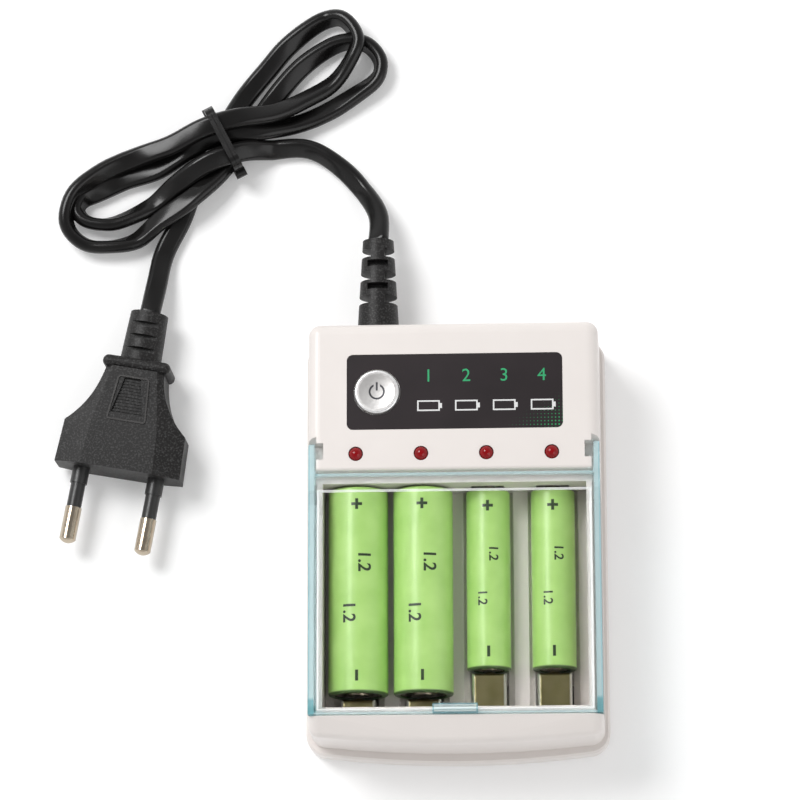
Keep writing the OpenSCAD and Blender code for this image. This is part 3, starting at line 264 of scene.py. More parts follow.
@dataclass(frozen=True)
class MouldedPlastic:
    """Moulded plastic with a fine grain."""

    name: str
    colour: Colour
    roughness: float = 0.38
    gloss: float = 0.5
    grain: float = 0.4 * MM
    grain_depth: float = 0.004 * MM
    mottle: float = 0.03
    mottle_size: float = 12 * MM
    wear: float = 0.03
    wear_size: float = 3 * MM
    # brightness of painted highlights on the peaks of the grain
    speckle: float = 0.0
    speckle_band: tuple[float, float] = (0.57, 1.0)
    speckle_fade: float = 0.12

    def make(self) -> bpy.types.Material:
        """Build the material.

        Returns:
            The finished material.
        """
        graph = Graph(self.name)
        darker = tuple(c * (1 - self.mottle) for c in self.colour)
        lighter = tuple(min(1.0, c * (1 + self.mottle)) for c in self.colour)
        tone = graph.mix(graph.spread(graph.noise(self.mottle_size, 3), 0.0, 1.0), darker, lighter)
        fine = graph.noise(self.grain, 3)
        # painted highlights: the peaks of the grain's relief are coloured brighter
        if self.speckle > 0:
            bright = tuple(c + self.speckle for c in self.colour)
            tone = graph.mix(graph.band(fine, *self.speckle_band, self.speckle_fade), tone, bright)
        worn = graph.noise(self.wear_size)
        graph.set(
            Base_Color=tone,
            Roughness=graph.spread(worn, self.roughness - self.wear, self.roughness + self.wear),
            Specular_IOR_Level=self.gloss,
        )
        graph.bump(fine, self.grain_depth)
        return graph.material


@dataclass(frozen=True)
class PlatedMetal:
    """Plated metal sheet or wire with a faint drawn grain."""

    name: str
    colour: Colour
    tarnish: Colour
    roughness: float = 0.25
    polish: float = 0.05
    wear: float = 0.07
    wear_size: float = 1.5 * MM
    tarnish_share: float = 0.5
    tarnish_size: float = 4 * MM
    grain: float = 0.8 * MM
    grain_depth: float = 0.003 * MM

    def make(self) -> bpy.types.Material:
        """Build the material.

        Returns:
            The finished material.
        """
        graph = Graph(self.name)
        cloud = graph.spread(graph.noise(self.tarnish_size, 4), 0.0, self.tarnish_share)
        worn = graph.noise(self.wear_size, 3)
        graph.set(
            Base_Color=graph.mix(cloud, self.colour, self.tarnish),
            Metallic=1.0,
            Roughness=graph.spread(worn, self.roughness - self.polish, self.roughness + self.wear),
        )
        graph.bump(graph.noise(self.grain, 2), self.grain_depth)
        return graph.material


@dataclass(frozen=True)
class ChannelNickel:
    """Nickel of the sliding contacts: its tone darkened to a dull olive by painted shade, with painted
    highlights as bright stripes along the folded edges.
    """

    name: str
    middles: tuple[float, ...]
    half_width: float
    edge: float = 0.5 * MM
    # dark and light are the nickel's tone darkened to a dull olive as painted shade
    dark: Colour = (0.21, 0.185, 0.085)
    light: Colour = (0.31, 0.275, 0.145)
    folded: Colour = (0.80, 0.80, 0.76)
    cloud_size: float = 5 * MM
    cloud_share: float = 0.6
    wear_size: float = 4 * MM
    roughness: tuple[float, float] = (0.3, 0.36)
    wave_depth: float = 0.004 * MM

    def make(self) -> bpy.types.Material:
        """Build the material.

        Returns:
            The finished material.
        """
        graph = Graph(self.name)
        cloud = graph.spread(graph.noise(self.cloud_size, 1), 0.0, self.cloud_share)
        tone = graph.mix(cloud, self.dark, self.light)
        # painted highlights: bright stripes along each slider's folded edges
        for middle in self.middles:
            away = graph.math("ABSOLUTE", graph.math("SUBTRACT", graph.x, middle))
            tone = graph.mix(graph.stripe(away, self.half_width, self.edge, self.edge), tone, self.folded)
        worn = graph.noise(self.wear_size)
        graph.set(Base_Color=tone, Metallic=1.0, Roughness=graph.spread(worn, *self.roughness))
        graph.bump(worn, self.wave_depth)
        return graph.material


@dataclass(frozen=True)
class ClearLidPlastic:
    """Clear plastic whose thick edges look teal, with painted highlights as white lines along the inner frame
    and the rear bend, and a teal tab.
    """

    name: str
    half_width: float
    front: float
    bend: float
    rear: float
    top: float
    side_width: float = 1.45 * MM
    skin_width: float = 0.35 * MM
    crest_height: float = 0.8 * MM
    corner_length: float = 3.6 * MM
    rear_width: float = 0.7 * MM
    rear_lip: float = 0.6 * MM
    front_width: float = 0.45 * MM
    front_lip: float = 0.6 * MM
    # places and widths of the painted highlight lines along the inner frame and the rear bend
    frame_inset: float = 2.3 * MM
    frame_front: tuple[float, float] = (0.8 * MM, 1.25 * MM)
    frame_start: float = 0.9 * MM
    frame_line: float = 0.25 * MM
    bend_line: float = 0.16 * MM
    tab_half_width: float = 5.3 * MM
    tab_depth: float = 2.3 * MM
    tab_border: float = 0.35 * MM
    tab_edge: float = 0.3 * MM
    overrun: float = MM
    crisp: float = 0.1 * MM
    fine: float = 0.15 * MM
    soft: float = 0.2 * MM
    faded: float = 0.3 * MM
    blurred: float = 0.5 * MM
    corner_fade: float = 0.8 * MM
    clear: Colour = (0.985, 0.998, 0.995)
    edge_teal: Colour = (0.70, 0.88, 0.91)
    skin_teal: Colour = (0.47, 0.73, 0.80)
    corner_teal: Colour = (0.26, 0.55, 0.60)
    line_white: Colour = (0.97, 0.98, 0.98)
    tab_teal: Colour = (0.36, 0.60, 0.66)
    tab_clear: Colour = (0.80, 0.89, 0.90)
    side_haze: float = 0.22
    crest_haze: float = 0.24
    line_haze: float = 0.6
    plain_cover: float = 0.25
    ripple_size: float = 30 * MM
    ripple_depth: float = 0.001 * MM

    def frame_lines(self, graph: Graph, away: Socket) -> Socket:
        """Mask of the painted highlights: white lines along the inner frame and the rear bend.

        Args:
            graph: the material's nodes.
            away: distance from the middle of the lid.

        Returns:
            1 on the painted highlight lines.
        """
        inner = self.half_width - self.frame_inset
        within = graph.band(away, -self.overrun, inner + self.frame_line, self.crisp)
        near, far = (self.front + reach for reach in self.frame_front)
        return graph.either(
            graph.both(
                graph.stripe(away, inner, self.frame_line, self.fine),
                graph.band(graph.y, self.front + self.frame_start, self.bend, self.soft),
            ),
            graph.both(within, graph.band(graph.y, near, far, self.fine)),
            graph.both(within, graph.stripe(graph.y, self.bend, self.bend_line, self.fine)),
        )

    def tabs(self, graph: Graph, away: Socket) -> tuple[Socket, Socket]:
        """Masks of the finger tab.

        Args:
            graph: the material's nodes.
            away: distance from the middle of the lid.

        Returns:
            1 on the whole tab, and 1 on its clear core.
        """
        tab = graph.both(
            graph.band(away, -self.overrun, self.tab_half_width, self.crisp),
            graph.band(graph.y, self.front - self.overrun, self.front + self.tab_depth, self.crisp),
        )
        near, far = self.front + self.tab_edge, self.front + self.tab_depth - self.tab_border
        core = graph.both(
            graph.band(away, -self.overrun, self.tab_half_width - self.tab_border, self.fine),
            graph.band(graph.y, near, far, self.fine),
        )
        return tab, core

    def make(self) -> bpy.types.Material:
        """Build the material.

        Returns:
            The finished material.
        """
        graph = Graph(self.name)
        away = graph.math("ABSOLUTE", graph.x)
        outer = self.half_width + self.overrun
        crest = graph.band(graph.z, self.top - self.crest_height, self.top + 2 * self.overrun, self.blurred)
        skin = graph.both(crest, graph.band(away, self.half_width - self.skin_width, outer, self.soft))
        sides = graph.band(away, self.half_width - self.side_width, outer, self.faded)
        near, far = self.front - self.overrun, self.front + self.corner_length
        corners = graph.both(sides, graph.band(graph.y, near, far, self.corner_fade))
        rear = graph.band(graph.y, self.rear - self.rear_width, self.rear + self.rear_lip, self.faded)
        front = graph.band(graph.y, self.front - self.front_lip, self.front + self.front_width, self.soft)
        lines = self.frame_lines(graph, away)
        tab, tab_core = self.tabs(graph, away)
        edges = graph.either(sides, rear, front, tab)
        tone = graph.mix(edges, self.clear, self.edge_teal)
        # the white lines laid on here are painted highlights on the inner frame and the rear bend
        for mask, tint in (
            (skin, self.skin_teal), (corners, self.corner_teal), (lines, self.line_white),
            (tab, self.tab_teal), (tab_core, self.tab_clear),
        ):
            tone = graph.mix(mask, tone, tint)
        haze = graph.math("MULTIPLY_ADD", crest, self.crest_haze, self.side_haze)
        edge_cloud = graph.math("MULTIPLY", edges, haze)
        # the painted highlight lines are made cloudy so they stay white
        cloudy = graph.math("ADD", edge_cloud, graph.math("MULTIPLY", lines, self.line_haze), clamp=True)
        marked = graph.either(edges, lines)
        graph.set(
            Base_Color=tone,
            Roughness=0.03,
            IOR=1.04,
            Transmission_Weight=graph.math("SUBTRACT", 1.0, cloudy),
            Specular_IOR_Level=0.5,
            Coat_Weight=0.3,
            Coat_Roughness=0.03,
            Alpha=graph.math("MULTIPLY_ADD", marked, 1 - self.plain_cover, self.plain_cover),
        )
        graph.bump(graph.noise(self.ripple_size, 0), self.ripple_depth)
        return graph.material


@dataclass(frozen=True)
class SleeveFilm:
    """Shrunk film round a cell, with its pole marks and painted shade where the film ends at the cell's
    front.
    """

    name: str
    x: float
    axis_z: float
    radius: float
    front: float
    rear: float
    dark: Colour = (0.37, 0.62, 0.165)
    light: Colour = (0.43, 0.68, 0.205)
    # colour of the painted shade at the film's front end
    mouth: Colour = (0.06, 0.12, 0.03)
    ink: Colour = (0.015, 0.035, 0.012)
    cloud_size: float = 6 * MM
    mouth_width: float = 0.55 * MM
    mouth_fade: float = 0.3 * MM
    plus_inset: float = 4.2 * MM
    minus_inset: float = 4.0 * MM
    stroke: float = 0.36 * MM
    arm: float = 1.3 * MM
    crisp: float = 0.1 * MM
    wrinkle_size: float = 3 * MM
    wrinkle_depth: float = 0.02 * MM

    def bar(self, graph: Graph, arc: Socket, y: float, across: float, along: float) -> Socket:
        """Mask of one printed bar on top of the sleeve.

        Args:
            graph: the material's nodes.
            arc: distance round the sleeve from its top.
            y: middle of the bar.
            across: half its size round the sleeve.
            along: half its size along the cell.

        Returns:
            1 on the bar.
        """
        return graph.both(
            graph.stripe(arc, 0.0, across, self.crisp),
            graph.stripe(graph.y, y, along, self.crisp),
        )

    def make(self) -> bpy.types.Material:
        """Build the material.

        Returns:
            The finished material.
        """
        graph = Graph(self.name)
        across = graph.math("SUBTRACT", graph.x, self.x)
        up = graph.math("SUBTRACT", graph.z, self.axis_z)
        arc = graph.math("MULTIPLY", graph.math("ARCTAN2", across, up), self.radius)
        tone = graph.mix(graph.spread(graph.noise(self.cloud_size, 2), 0, 1), self.dark, self.light)
        # painted shade: a dark band where the film ends at the cell's front
        edge = graph.band(graph.y, self.front - MM, self.front + self.mouth_width, self.mouth_fade)
        tone = graph.mix(edge, tone, self.mouth)
        plus_y, minus_y = self.rear - self.plus_inset, self.front + self.minus_inset
        marks = graph.either(
            self.bar(graph, arc, plus_y, self.arm, self.stroke),
            self.bar(graph, arc, plus_y, self.stroke, self.arm),
            self.bar(graph, arc, minus_y, self.stroke, self.arm),
        )
        tone = graph.mix(marks, tone, self.ink)
        graph.set(Base_Color=tone, Roughness=0.34, Coat_Weight=0.25, Coat_Roughness=0.2)
        graph.bump(graph.noise(self.wrinkle_size, 2), self.wrinkle_depth)
        return graph.material


@dataclass(frozen=True)
class PanelInk:
    """Dark label film with a fade of printed dots at its corner."""

    name: str
    right: float
    low: float
    pitch: float = 0.85 * MM
    largest: float = 0.34
    edge: float = 12.0
    fade_width: float = 18 * MM
    fade_length: float = 11 * MM
    dark: Colour = (0.018, 0.0135, 0.015)
    light: Colour = (0.023, 0.017, 0.019)
    dot: Colour = (0.03, 0.26, 0.10)
    cloud_size: float = 10 * MM
    grain: float = 0.3 * MM
    grain_depth: float = 0.003 * MM

    def make(self) -> bpy.types.Material:
        """Build the material.

        Returns:
            The finished material.
        """
        graph = Graph(self.name)
        tone = graph.mix(graph.spread(graph.noise(self.cloud_size, 2), 0, 1), self.dark, self.light)
        cell = [graph.math("SUBTRACT", graph.math("FRACT", graph.math("DIVIDE", axis, self.pitch)), 0.5)
                for axis in (graph.x, graph.y)]
        away = graph.length(*cell)
        fade_x = graph.math("DIVIDE", graph.math("SUBTRACT", self.right, graph.x), self.fade_width)
        fade_y = graph.math("DIVIDE", graph.math("SUBTRACT", graph.y, self.low), self.fade_length)
        loss = graph.math("MULTIPLY", self.largest, graph.math("ADD", fade_x, fade_y))
        size = graph.math("SUBTRACT", self.largest, loss)
        dots = graph.math("MULTIPLY", graph.math("SUBTRACT", size, away), self.edge, clamp=True)
        graph.set(Base_Color=graph.mix(dots, tone, self.dot), Roughness=0.3, Specular_IOR_Level=0.35)
        graph.bump(graph.noise(self.grain, 2), self.grain_depth)
        return graph.material


@dataclass(frozen=True)
class DishedSilver:
    """Silver button cap with a switch symbol, and painted shading that lightens it towards the front."""

    name: str
    x: float
    y: float
    ring: float = 1.7 * MM
    line: float = 0.22 * MM
    gap: float = 0.75 * MM
    gap_reach: float = 4 * MM
    bar: tuple[float, float] = (0.3 * MM, 2.3 * MM)
    crisp: float = 0.1 * MM
    rim: tuple[float, float] = (4.75 * MM, 6 * MM)
    rim_fade: float = 0.2 * MM
    slope: float = -90.0
    # dark and light are the shaded rear and lit front of the painted shading across the cap
    dark: Colour = (0.60, 0.585, 0.575)
    light: Colour = (0.79, 0.775, 0.765)
    rim_silver: Colour = (0.92, 0.92, 0.92)
    symbol: Colour = (0.07, 0.07, 0.08)
    roughness: tuple[float, float] = (0.30, 0.38)
    wear_size: float = 0.6 * MM
    grain: float = 0.2 * MM
    grain_depth: float = 0.003 * MM

    def make(self) -> bpy.types.Material:
        """Build the material.

        Returns:
            The finished material.
        """
        graph = Graph(self.name)
        dx = graph.math("SUBTRACT", graph.x, self.x)
        dy = graph.math("SUBTRACT", graph.y, self.y)
        away = graph.length(dx, dy)
        gap = graph.both(
            graph.stripe(dx, 0.0, self.gap, self.crisp), graph.band(dy, 0.0, self.gap_reach, self.crisp)
        )
        ring = graph.stripe(away, self.ring, self.line, self.crisp)
        ring = graph.both(ring, graph.math("SUBTRACT", 1.0, gap))
        bar = graph.both(graph.stripe(dx, 0.0, self.line, self.crisp), graph.band(dy, *self.bar, self.crisp))
        # painted shading: the cap goes from dark at the rear to light at the front
        tone = graph.mix(graph.math("MULTIPLY_ADD", dy, self.slope, 0.5, clamp=True), self.dark, self.light)
        tone = graph.mix(graph.band(away, *self.rim, self.rim_fade), tone, self.rim_silver)
        tone = graph.mix(graph.either(ring, bar), tone, self.symbol)
        worn = graph.spread(graph.noise(self.wear_size), *self.roughness)
        graph.set(Base_Color=tone, Metallic=0.75, Roughness=worn)
        graph.bump(graph.noise(self.grain), self.grain_depth)
        return graph.material


@dataclass(frozen=True)
class RedLens:
    """Dark red diffusing resin of the lights."""

    name: str
    dark: Colour = (0.20, 0.001, 0.003)
    light: Colour = (0.27, 0.001, 0.004)
    cloud_size: float = MM
    scatter: Colour = (0.002, 0.0004, 0.0004)
    ripple_size: float = 0.8 * MM
    ripple_depth: float = 0.002 * MM

    def make(self) -> bpy.types.Material:
        """Build the material.

        Returns:
            The finished material.
        """
        graph = Graph(self.name)
        tone = graph.mix(graph.spread(graph.noise(self.cloud_size), 0, 1), self.dark, self.light)
        graph.set(
            Base_Color=tone, Roughness=0.05, Specular_IOR_Level=0.32, Subsurface_Weight=0.05,
            Subsurface_Radius=self.scatter,
        )
        graph.bump(graph.noise(self.ripple_size), self.ripple_depth)
        return graph.material


@dataclass(frozen=True)
class Ink:
    """Printing ink."""

    name: str
    colour: Colour
    thin_share: float = 0.9
    grain: float = 0.2 * MM

    def make(self) -> bpy.types.Material:
        """Build the material.

        Returns:
            The finished material.
        """
        graph = Graph(self.name)
        thin = tuple(c * self.thin_share for c in self.colour)
        graph.set(Base_Color=graph.mix(graph.noise(self.grain), thin, self.colour), Roughness=0.4)
        return graph.material


IVORY = MouldedPlastic(
    "ivory plastic", (0.75, 0.703, 0.674), roughness=0.32, mottle=0.01,
    grain=1.2 * MM, grain_depth=0.001 * MM)
BLACK_VINYL = MouldedPlastic(
    "black vinyl", (0.007, 0.0066, 0.0065), roughness=0.24, gloss=0.3, mottle=0.2, grain=0.6 * MM)
# the plug's grain carries painted highlights on its peaks
PLUG_GRAIN = MouldedPlastic(
    "grained black plastic", (0.010, 0.0093, 0.0092), roughness=0.48, gloss=0.27, mottle=0.2,
    grain=0.45 * MM, grain_depth=0.03 * MM, speckle=0.03)
GRIP_RIM = MouldedPlastic("polished grip rim", (0.035, 0.033, 0.032), roughness=0.25)
PIN_PLASTIC = MouldedPlastic("pin sleeve plastic", (0.018, 0.018, 0.018), roughness=0.35)
BLACK_RESIN = MouldedPlastic("black resin", (0.02, 0.02, 0.02), roughness=0.45)
BOARD_LACQUER = MouldedPlastic("board lacquer", (0.06, 0.20, 0.08), roughness=0.3)
WINDING_TAPE = MouldedPlastic("winding tape", (0.55, 0.38, 0.05), roughness=0.3)
CAPACITOR_FILM = MouldedPlastic("capacitor film", (0.03, 0.04, 0.12), roughness=0.25)
WIRE_VINYL = MouldedPlastic("wire vinyl", (0.05, 0.05, 0.06), roughness=0.4)
CONTACT_NICKEL = PlatedMetal("contact nickel", (0.56, 0.53, 0.45), (0.30, 0.28, 0.20))
SPRING_WIRE = PlatedMetal("spring wire", (0.62, 0.61, 0.58), (0.45, 0.43, 0.38))
CELL_STEEL = PlatedMetal("cell steel", (0.52, 0.47, 0.39), (0.30, 0.25, 0.18), roughness=0.2)
PIN_NICKEL = PlatedMetal("pin nickel", (0.50, 0.43, 0.34), (0.38, 0.31, 0.23), roughness=0.16)
SCREW_ZINC = PlatedMetal("screw zinc", (0.5, 0.5, 0.5), (0.35, 0.35, 0.36))
CORE_STEEL = PlatedMetal("core steel", (0.22, 0.22, 0.24), (0.12, 0.12, 0.13), roughness=0.45)


def bay_x(bay: int) -> float:
    """Middle of a bay across the tray, in millimetres, with bays counted from 0."""
    return (bay - (BAYS - 1) / 2) * BAY_PITCH


def dress(node: str, material: bpy.types.Material) -> None:
    """Give a node its material in every slot.

    Args:
        node: name of the node.
        material: the finish.
    """
    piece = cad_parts[node]
    if not piece.material_slots:
        piece.data.materials.append(material)
    for held in piece.material_slots:
        held.material = material
    LOG.info("dressed %s with %s", node, material.name)


def attach(piece: bpy.types.Object) -> None:
    """Let a new piece ride on the charger.

    Args:
        piece: the finished piece.
    """
    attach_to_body(piece, BODY)
    LOG.info("made %s", piece.name)


def text_mesh(text: str, size: float, place: Point, offset: float = 0.0) -> bpy.types.Object:
    """Write centred text and make it a mesh.

    Args:
        text: what it says.
        size: its size in metres.
        place: its middle in metres.
        offset: how much bolder its strokes are, in metres.

    Returns:
        The text as a mesh, selected.
    """
    bpy.ops.object.select_all(action="DESELECT")
    bpy.ops.object.text_add(location=place)
    letters = bpy.context.object.data
    letters.body = text
    letters.size = size
    letters.offset = offset
    letters.align_x = "CENTER"
    letters.align_y = "CENTER"
    bpy.ops.object.convert(target="MESH")
    return bpy.context.object


def mesh_piece(name: str, points: list, faces: list, material: bpy.types.Material) -> bpy.types.Object:
    """Make an object from points and faces.

    Args:
        name: name of the piece.
        points: places of its vertices in metres.
        faces: lists of vertex numbers.
        material: its finish.

    Returns:
        The new piece.
    """
    mesh = bpy.data.meshes.new(name)
    mesh.from_pydata(points, [], faces)
    mesh.materials.append(material)
    build = bmesh.new()
    build.from_mesh(mesh)
    bmesh.ops.recalc_face_normals(build, faces=build.faces)
    build.to_mesh(mesh)
    build.free()
    piece = bpy.data.objects.new(name, mesh)
    bpy.context.scene.collection.objects.link(piece)
    return piece


@dataclass
class Studio:
    """Camera, soft lamps and floor."""

    camera_place: Point = (26.17 * MM, -161.58 * MM, 850 * MM)
    camera_turn: Point = (13.248, 2.739, -0.140)
    lens: float = 159.93
    sensor: float = 36.0
    sight: float = 20.0
    key_place: Point = (-0.55, 0.45, 0.9)
    key_size: float = 0.5
    key_power: float = 8.8
    fill_place: Point = (0.8, -0.5, 0.8)
    fill_size: float = 0.9
    fill_power: float = 3.4
    sky_low: float = 1.0
    sky_high: float = 0.28
    floor_size: float = 6.0
    floor_drop: float = 0.2 * MM
    floor_dark: Colour = (0.86, 0.86, 0.86)
    floor_light: Colour = (0.88, 0.88, 0.88)
    floor_cloud: float = 0.3
    floor_glow: float = 0.16
    white: Colour = (1.0, 1.0, 1.0)

    def camera(self) -> None:
        """Set up the camera at the photograph's viewing angle."""
        data = bpy.data.cameras.new("camera")
        data.lens = self.lens
        data.sensor_width = self.sensor
        data.clip_end = self.sight
        camera = bpy.data.objects.new("camera", data)
        bpy.context.scene.collection.objects.link(camera)
        camera.location = self.camera_place
        camera.rotation_euler = [math.radians(a) for a in self.camera_turn]
        bpy.context.scene.camera = camera

    def lamp(self, name: str, place: Point, size: float, power: float) -> None:
        """Hang one square lamp that looks at the charger.

        Args:
            name: name of the lamp.
            place: where it hangs in metres.
            size: its side in metres.
            power: its power in watts.
        """
        data = bpy.data.lights.new(name, "AREA")
        data.size = size
        data.energy = power
        lamp = bpy.data.objects.new(name, data)
        bpy.context.scene.collection.objects.link(lamp)
        lamp.location = place
        lamp.rotation_euler = (-Vector(place)).to_track_quat("-Z", "Y").to_euler()

    def sky(self) -> None:
        """Set a white world that is brighter near the ground than overhead."""
        world = bpy.data.worlds.new("studio")
        world.use_nodes = True
        tree = world.node_tree
        background = tree.nodes["Background"].inputs
        split = tree.nodes.new("ShaderNodeSeparateXYZ")
        tree.links.new(tree.nodes.new("ShaderNodeTexCoord").outputs["Generated"], split.inputs[0])
        fall = tree.nodes.new("ShaderNodeMapRange")
        for socket, number in zip(fall.inputs[1:5], (0.0, 1.0, self.sky_low, self.sky_high)):
            socket.default_value = number
        tree.links.new(split.outputs["Z"], fall.inputs[0])
        tree.links.new(fall.outputs[0], background["Strength"])
        background["Color"].default_value = (*self.white, 1.0)
        bpy.context.scene.world = world

    def floor(self) -> None:
        """Lay the pale floor."""
        bpy.ops.object.select_all(action="DESELECT")
        bpy.ops.mesh.primitive_plane_add(size=self.floor_size, location=(0, 0, -self.floor_drop))
        plane = bpy.context.object
        plane.name = "floor"
        graph = Graph("pale floor")
        rays = graph.node("ShaderNodeLightPath").outputs
        seen = graph.either(rays["Is Camera Ray"], rays["Is Glossy Ray"], rays["Is Transmission Ray"])
        graph.set(
            Base_Color=graph.mix(graph.noise(self.floor_cloud), self.floor_dark, self.floor_light),
            Roughness=0.9,
            Emission_Color=self.white,
            Emission_Strength=graph.math("MULTIPLY", seen, self.floor_glow),
        )
        plane.data.materials.append(graph.material)

    def build(self) -> None:
        """Set up everything around the object."""
        bpy.context.scene.view_settings.view_transform = "Standard"
        self.camera()
        self.lamp("key", self.key_place, self.key_size, self.key_power)
        self.lamp("fill", self.fill_place, self.fill_size, self.fill_power)
        self.sky()
        self.floor()
        LOG.info("studio ready")


@dataclass
class MainsLead:
    """Flat two-core cord from the strain relief through the tie to the plug."""

    width: float = 5.2
    thickness: float = 3.2
    start: Point = (-18.8, 76.6, 9.5)
    points: list[Point] = field(default_factory=lambda: [
        (-19, 84.4, 6.1), (-23, 91.9, 2.4), (-29, 98.4, 1.7), (-36.5, 102.9, 1.7), (-45.5, 102.9, 2.3),
        (-53, 101.4, 6.4), (-61.5, 98.4, 7), (-69, 93.9, 4.4), (-75.5, 88.9, 1.9), (-83.5, 84.9, 1.7),
        (-88.5, 84.2, 1.7), (-92.6, 85.4, 1.7), (-94.3, 88.2, 1.7), (-92.6, 91.1, 1.7),
        (-88.5, 93.1, 1.7), (-82.5, 95.9, 1.7), (-74, 98.4, 2.3), (-66, 102.9, 4.3),
        (-58.5, 106.4, 6.2), (-49.5, 106.9, 5.8), (-41, 108.9, 2.9), (-32.5, 112.4, 1.7),
        (-25, 116.9, 1.7), (-19.6, 121, 1.7), (-18.6, 125.6, 1.7), (-21.6, 129.8, 1.7),
        (-26.3, 131, 1.7), (-31.5, 129.4, 1.7), (-38.5, 124.4, 1.7), (-44.5, 117.4, 1.8),
        (-49.5, 109.9, 2.5), (-54.5, 102.4, 3.4), (-59.5, 95.4, 4.3), (-66, 89.4, 5.2),
        (-73.5, 84.4, 3.9), (-80.5, 79.4, 1.9), (-89.5, 78.4, 2.4), (-94.6, 80.6, 3.4),
        (-96.8, 85.2, 4.6), (-94.5, 91.9, 5), (-87.5, 97.4, 4.4), (-79, 100.9, 4.7),
        (-70.5, 103.4, 6.4), (-62.5, 106.9, 8.5), (-54, 109.4, 8.6), (-45, 111.4, 6.1),
        (-37.5, 115.4, 3.6), (-30, 120.4, 2.7), (-25, 127.4, 4.9), (-24.6, 132, 5),
        (-28.2, 136.6, 3.9), (-33.4, 136.4, 2), (-41.5, 130.4, 1.7), (-47, 123.9, 1.7),
        (-52.5, 116.9, 2), (-57, 108.9, 3.1), (-61, 100.9, 3.1), (-65.5, 92.9, 2.1),
        (-68.5, 84.9, 1.7), (-72.5, 76.4, 1.9), (-74, 67.9, 4.2)])
    carried: tuple[str, ...] = (
        "plug_body", "plug_pin_1", "plug_pin_2", "pin_sleeve_1", "pin_sleeve_2", "cord_tie")
    plug_tail: float = 40.5
    steps: int = 6
    bank: float = 76.0
    bank_radius: float = 18.0
    bank_reach: int = 3
    arc_end: int = 75
    arc_step: int = 25
    groove_share: float = 0.72

    def plug_axis(self) -> Vector:
        """Direction from the plug's face to its tail."""
        lean = math.radians(PLUG_ANGLE)
        return Vector((math.sin(lean), math.cos(lean), 0))

    def route(self) -> list[Vector]:
        """Smooth line through the points.

        Returns:
            Places along the cord in millimetres.
        """
        end = Vector(PLUG_FACE) + self.plug_tail * self.plug_axis()
        knots = [Vector(self.start), *map(Vector, self.points), end]
        line = []
        last = len(knots) - 1
        for i in range(last):
            a, b, c, d = (knots[max(0, min(last, i + k))] for k in (-1, 0, 1, 2))
            for k in range(self.steps):
                t = k / self.steps
                line.append(
                    b + (c - a) * t / 2 + (2 * a - 5 * b + 4 * c - d) * t * t / 2
                    + (3 * b - a - 3 * c + d) * t ** 3 / 2
                )
        return [*line, knots[-1]]

    def profile(self) -> list[tuple[float, float]]:
        """Outline of the two cores with the groove between them.

        Returns:
            Places across and up in millimetres.
        """
        core = self.thickness / 2
        apart = self.width / 2 - core
        turns = [math.radians(v) for v in range(-self.arc_end, self.arc_end + 1, self.arc_step)]
        right = [(apart + core * math.cos(a), core * math.sin(a)) for a in turns]
        left = [(-x, -y) for x, y in right]
        groove = core * self.groove_share
        return [*right, (0.0, groove), *left, (0.0, -groove)]

    def banks(self, line: list[Vector]) -> list[float]:
        """Turn of the flat section about the cord, which stands up where the cord bends.

        Args:
            line: places along the cord in millimetres.

        Returns:
            An angle in radians for each place.
        """
        reach, span, last = self.bank_reach, 2 * self.bank_reach, len(line) - 1
        raw = []
        for i, here in enumerate(line):
            first, second = here - line[max(i - reach, 0)], line[min(i + reach, last)] - here
            if i < span or i > last - span or first.length == 0 or second.length == 0:
                raw.append(0.0)
                continue
            cross, dot = first.x * second.y - first.y * second.x, first.x * second.x + first.y * second.y
            turn = math.atan2(cross, dot)
            bend = turn / ((first.length + second.length) / 2)
            raw.append(math.radians(self.bank) * max(-1.0, min(1.0, bend * self.bank_radius)))
        near = [raw[max(i - span, 0):i + span + 1] for i in range(len(line))]
        return [sum(angles) / len(angles) for angles in near]

    def build(self) -> None:
        line = self.route()
        last = len(line) - 1
        outline = self.profile()
        core = self.thickness / 2
        points = []
        for i, (place, bank) in enumerate(zip(line, self.banks(line))):
            along = line[min(i + 1, last)] - line[max(i - 1, 0)]
            if i == 0:
                along = Vector((0, 1, 0))
            if i == last:
                along = -self.plug_axis()
            along.normalize()
            side = along.cross(Vector((0, 0, 1))).normalized()
            up = side.cross(along)
            c, s = math.cos(bank), math.sin(bank)
            lowest = core + (self.width / 2 - core) * abs(s)
            centre = Vector((place.x, place.y, max(place.z, lowest)))
            points += [(centre + side * (x * c - y * s) + up * (x * s + y * c)) * MM for x, y in outline]
        n = len(outline)
        faces = [[j * n + k, j * n + (k + 1) % n, (j + 1) * n + (k + 1) % n, (j + 1) * n + k]
                 for j in range(last) for k in range(n)]
        faces += [list(range(n))[::-1], [last * n + k for k in range(n)]]
        cord = mesh_piece("flat_cord", points, faces, BLACK_VINYL.make())
        for face in cord.data.polygons:
            face.use_smooth = len(face.vertices) == 4
        attach(cord)
        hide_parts("mains_cord")


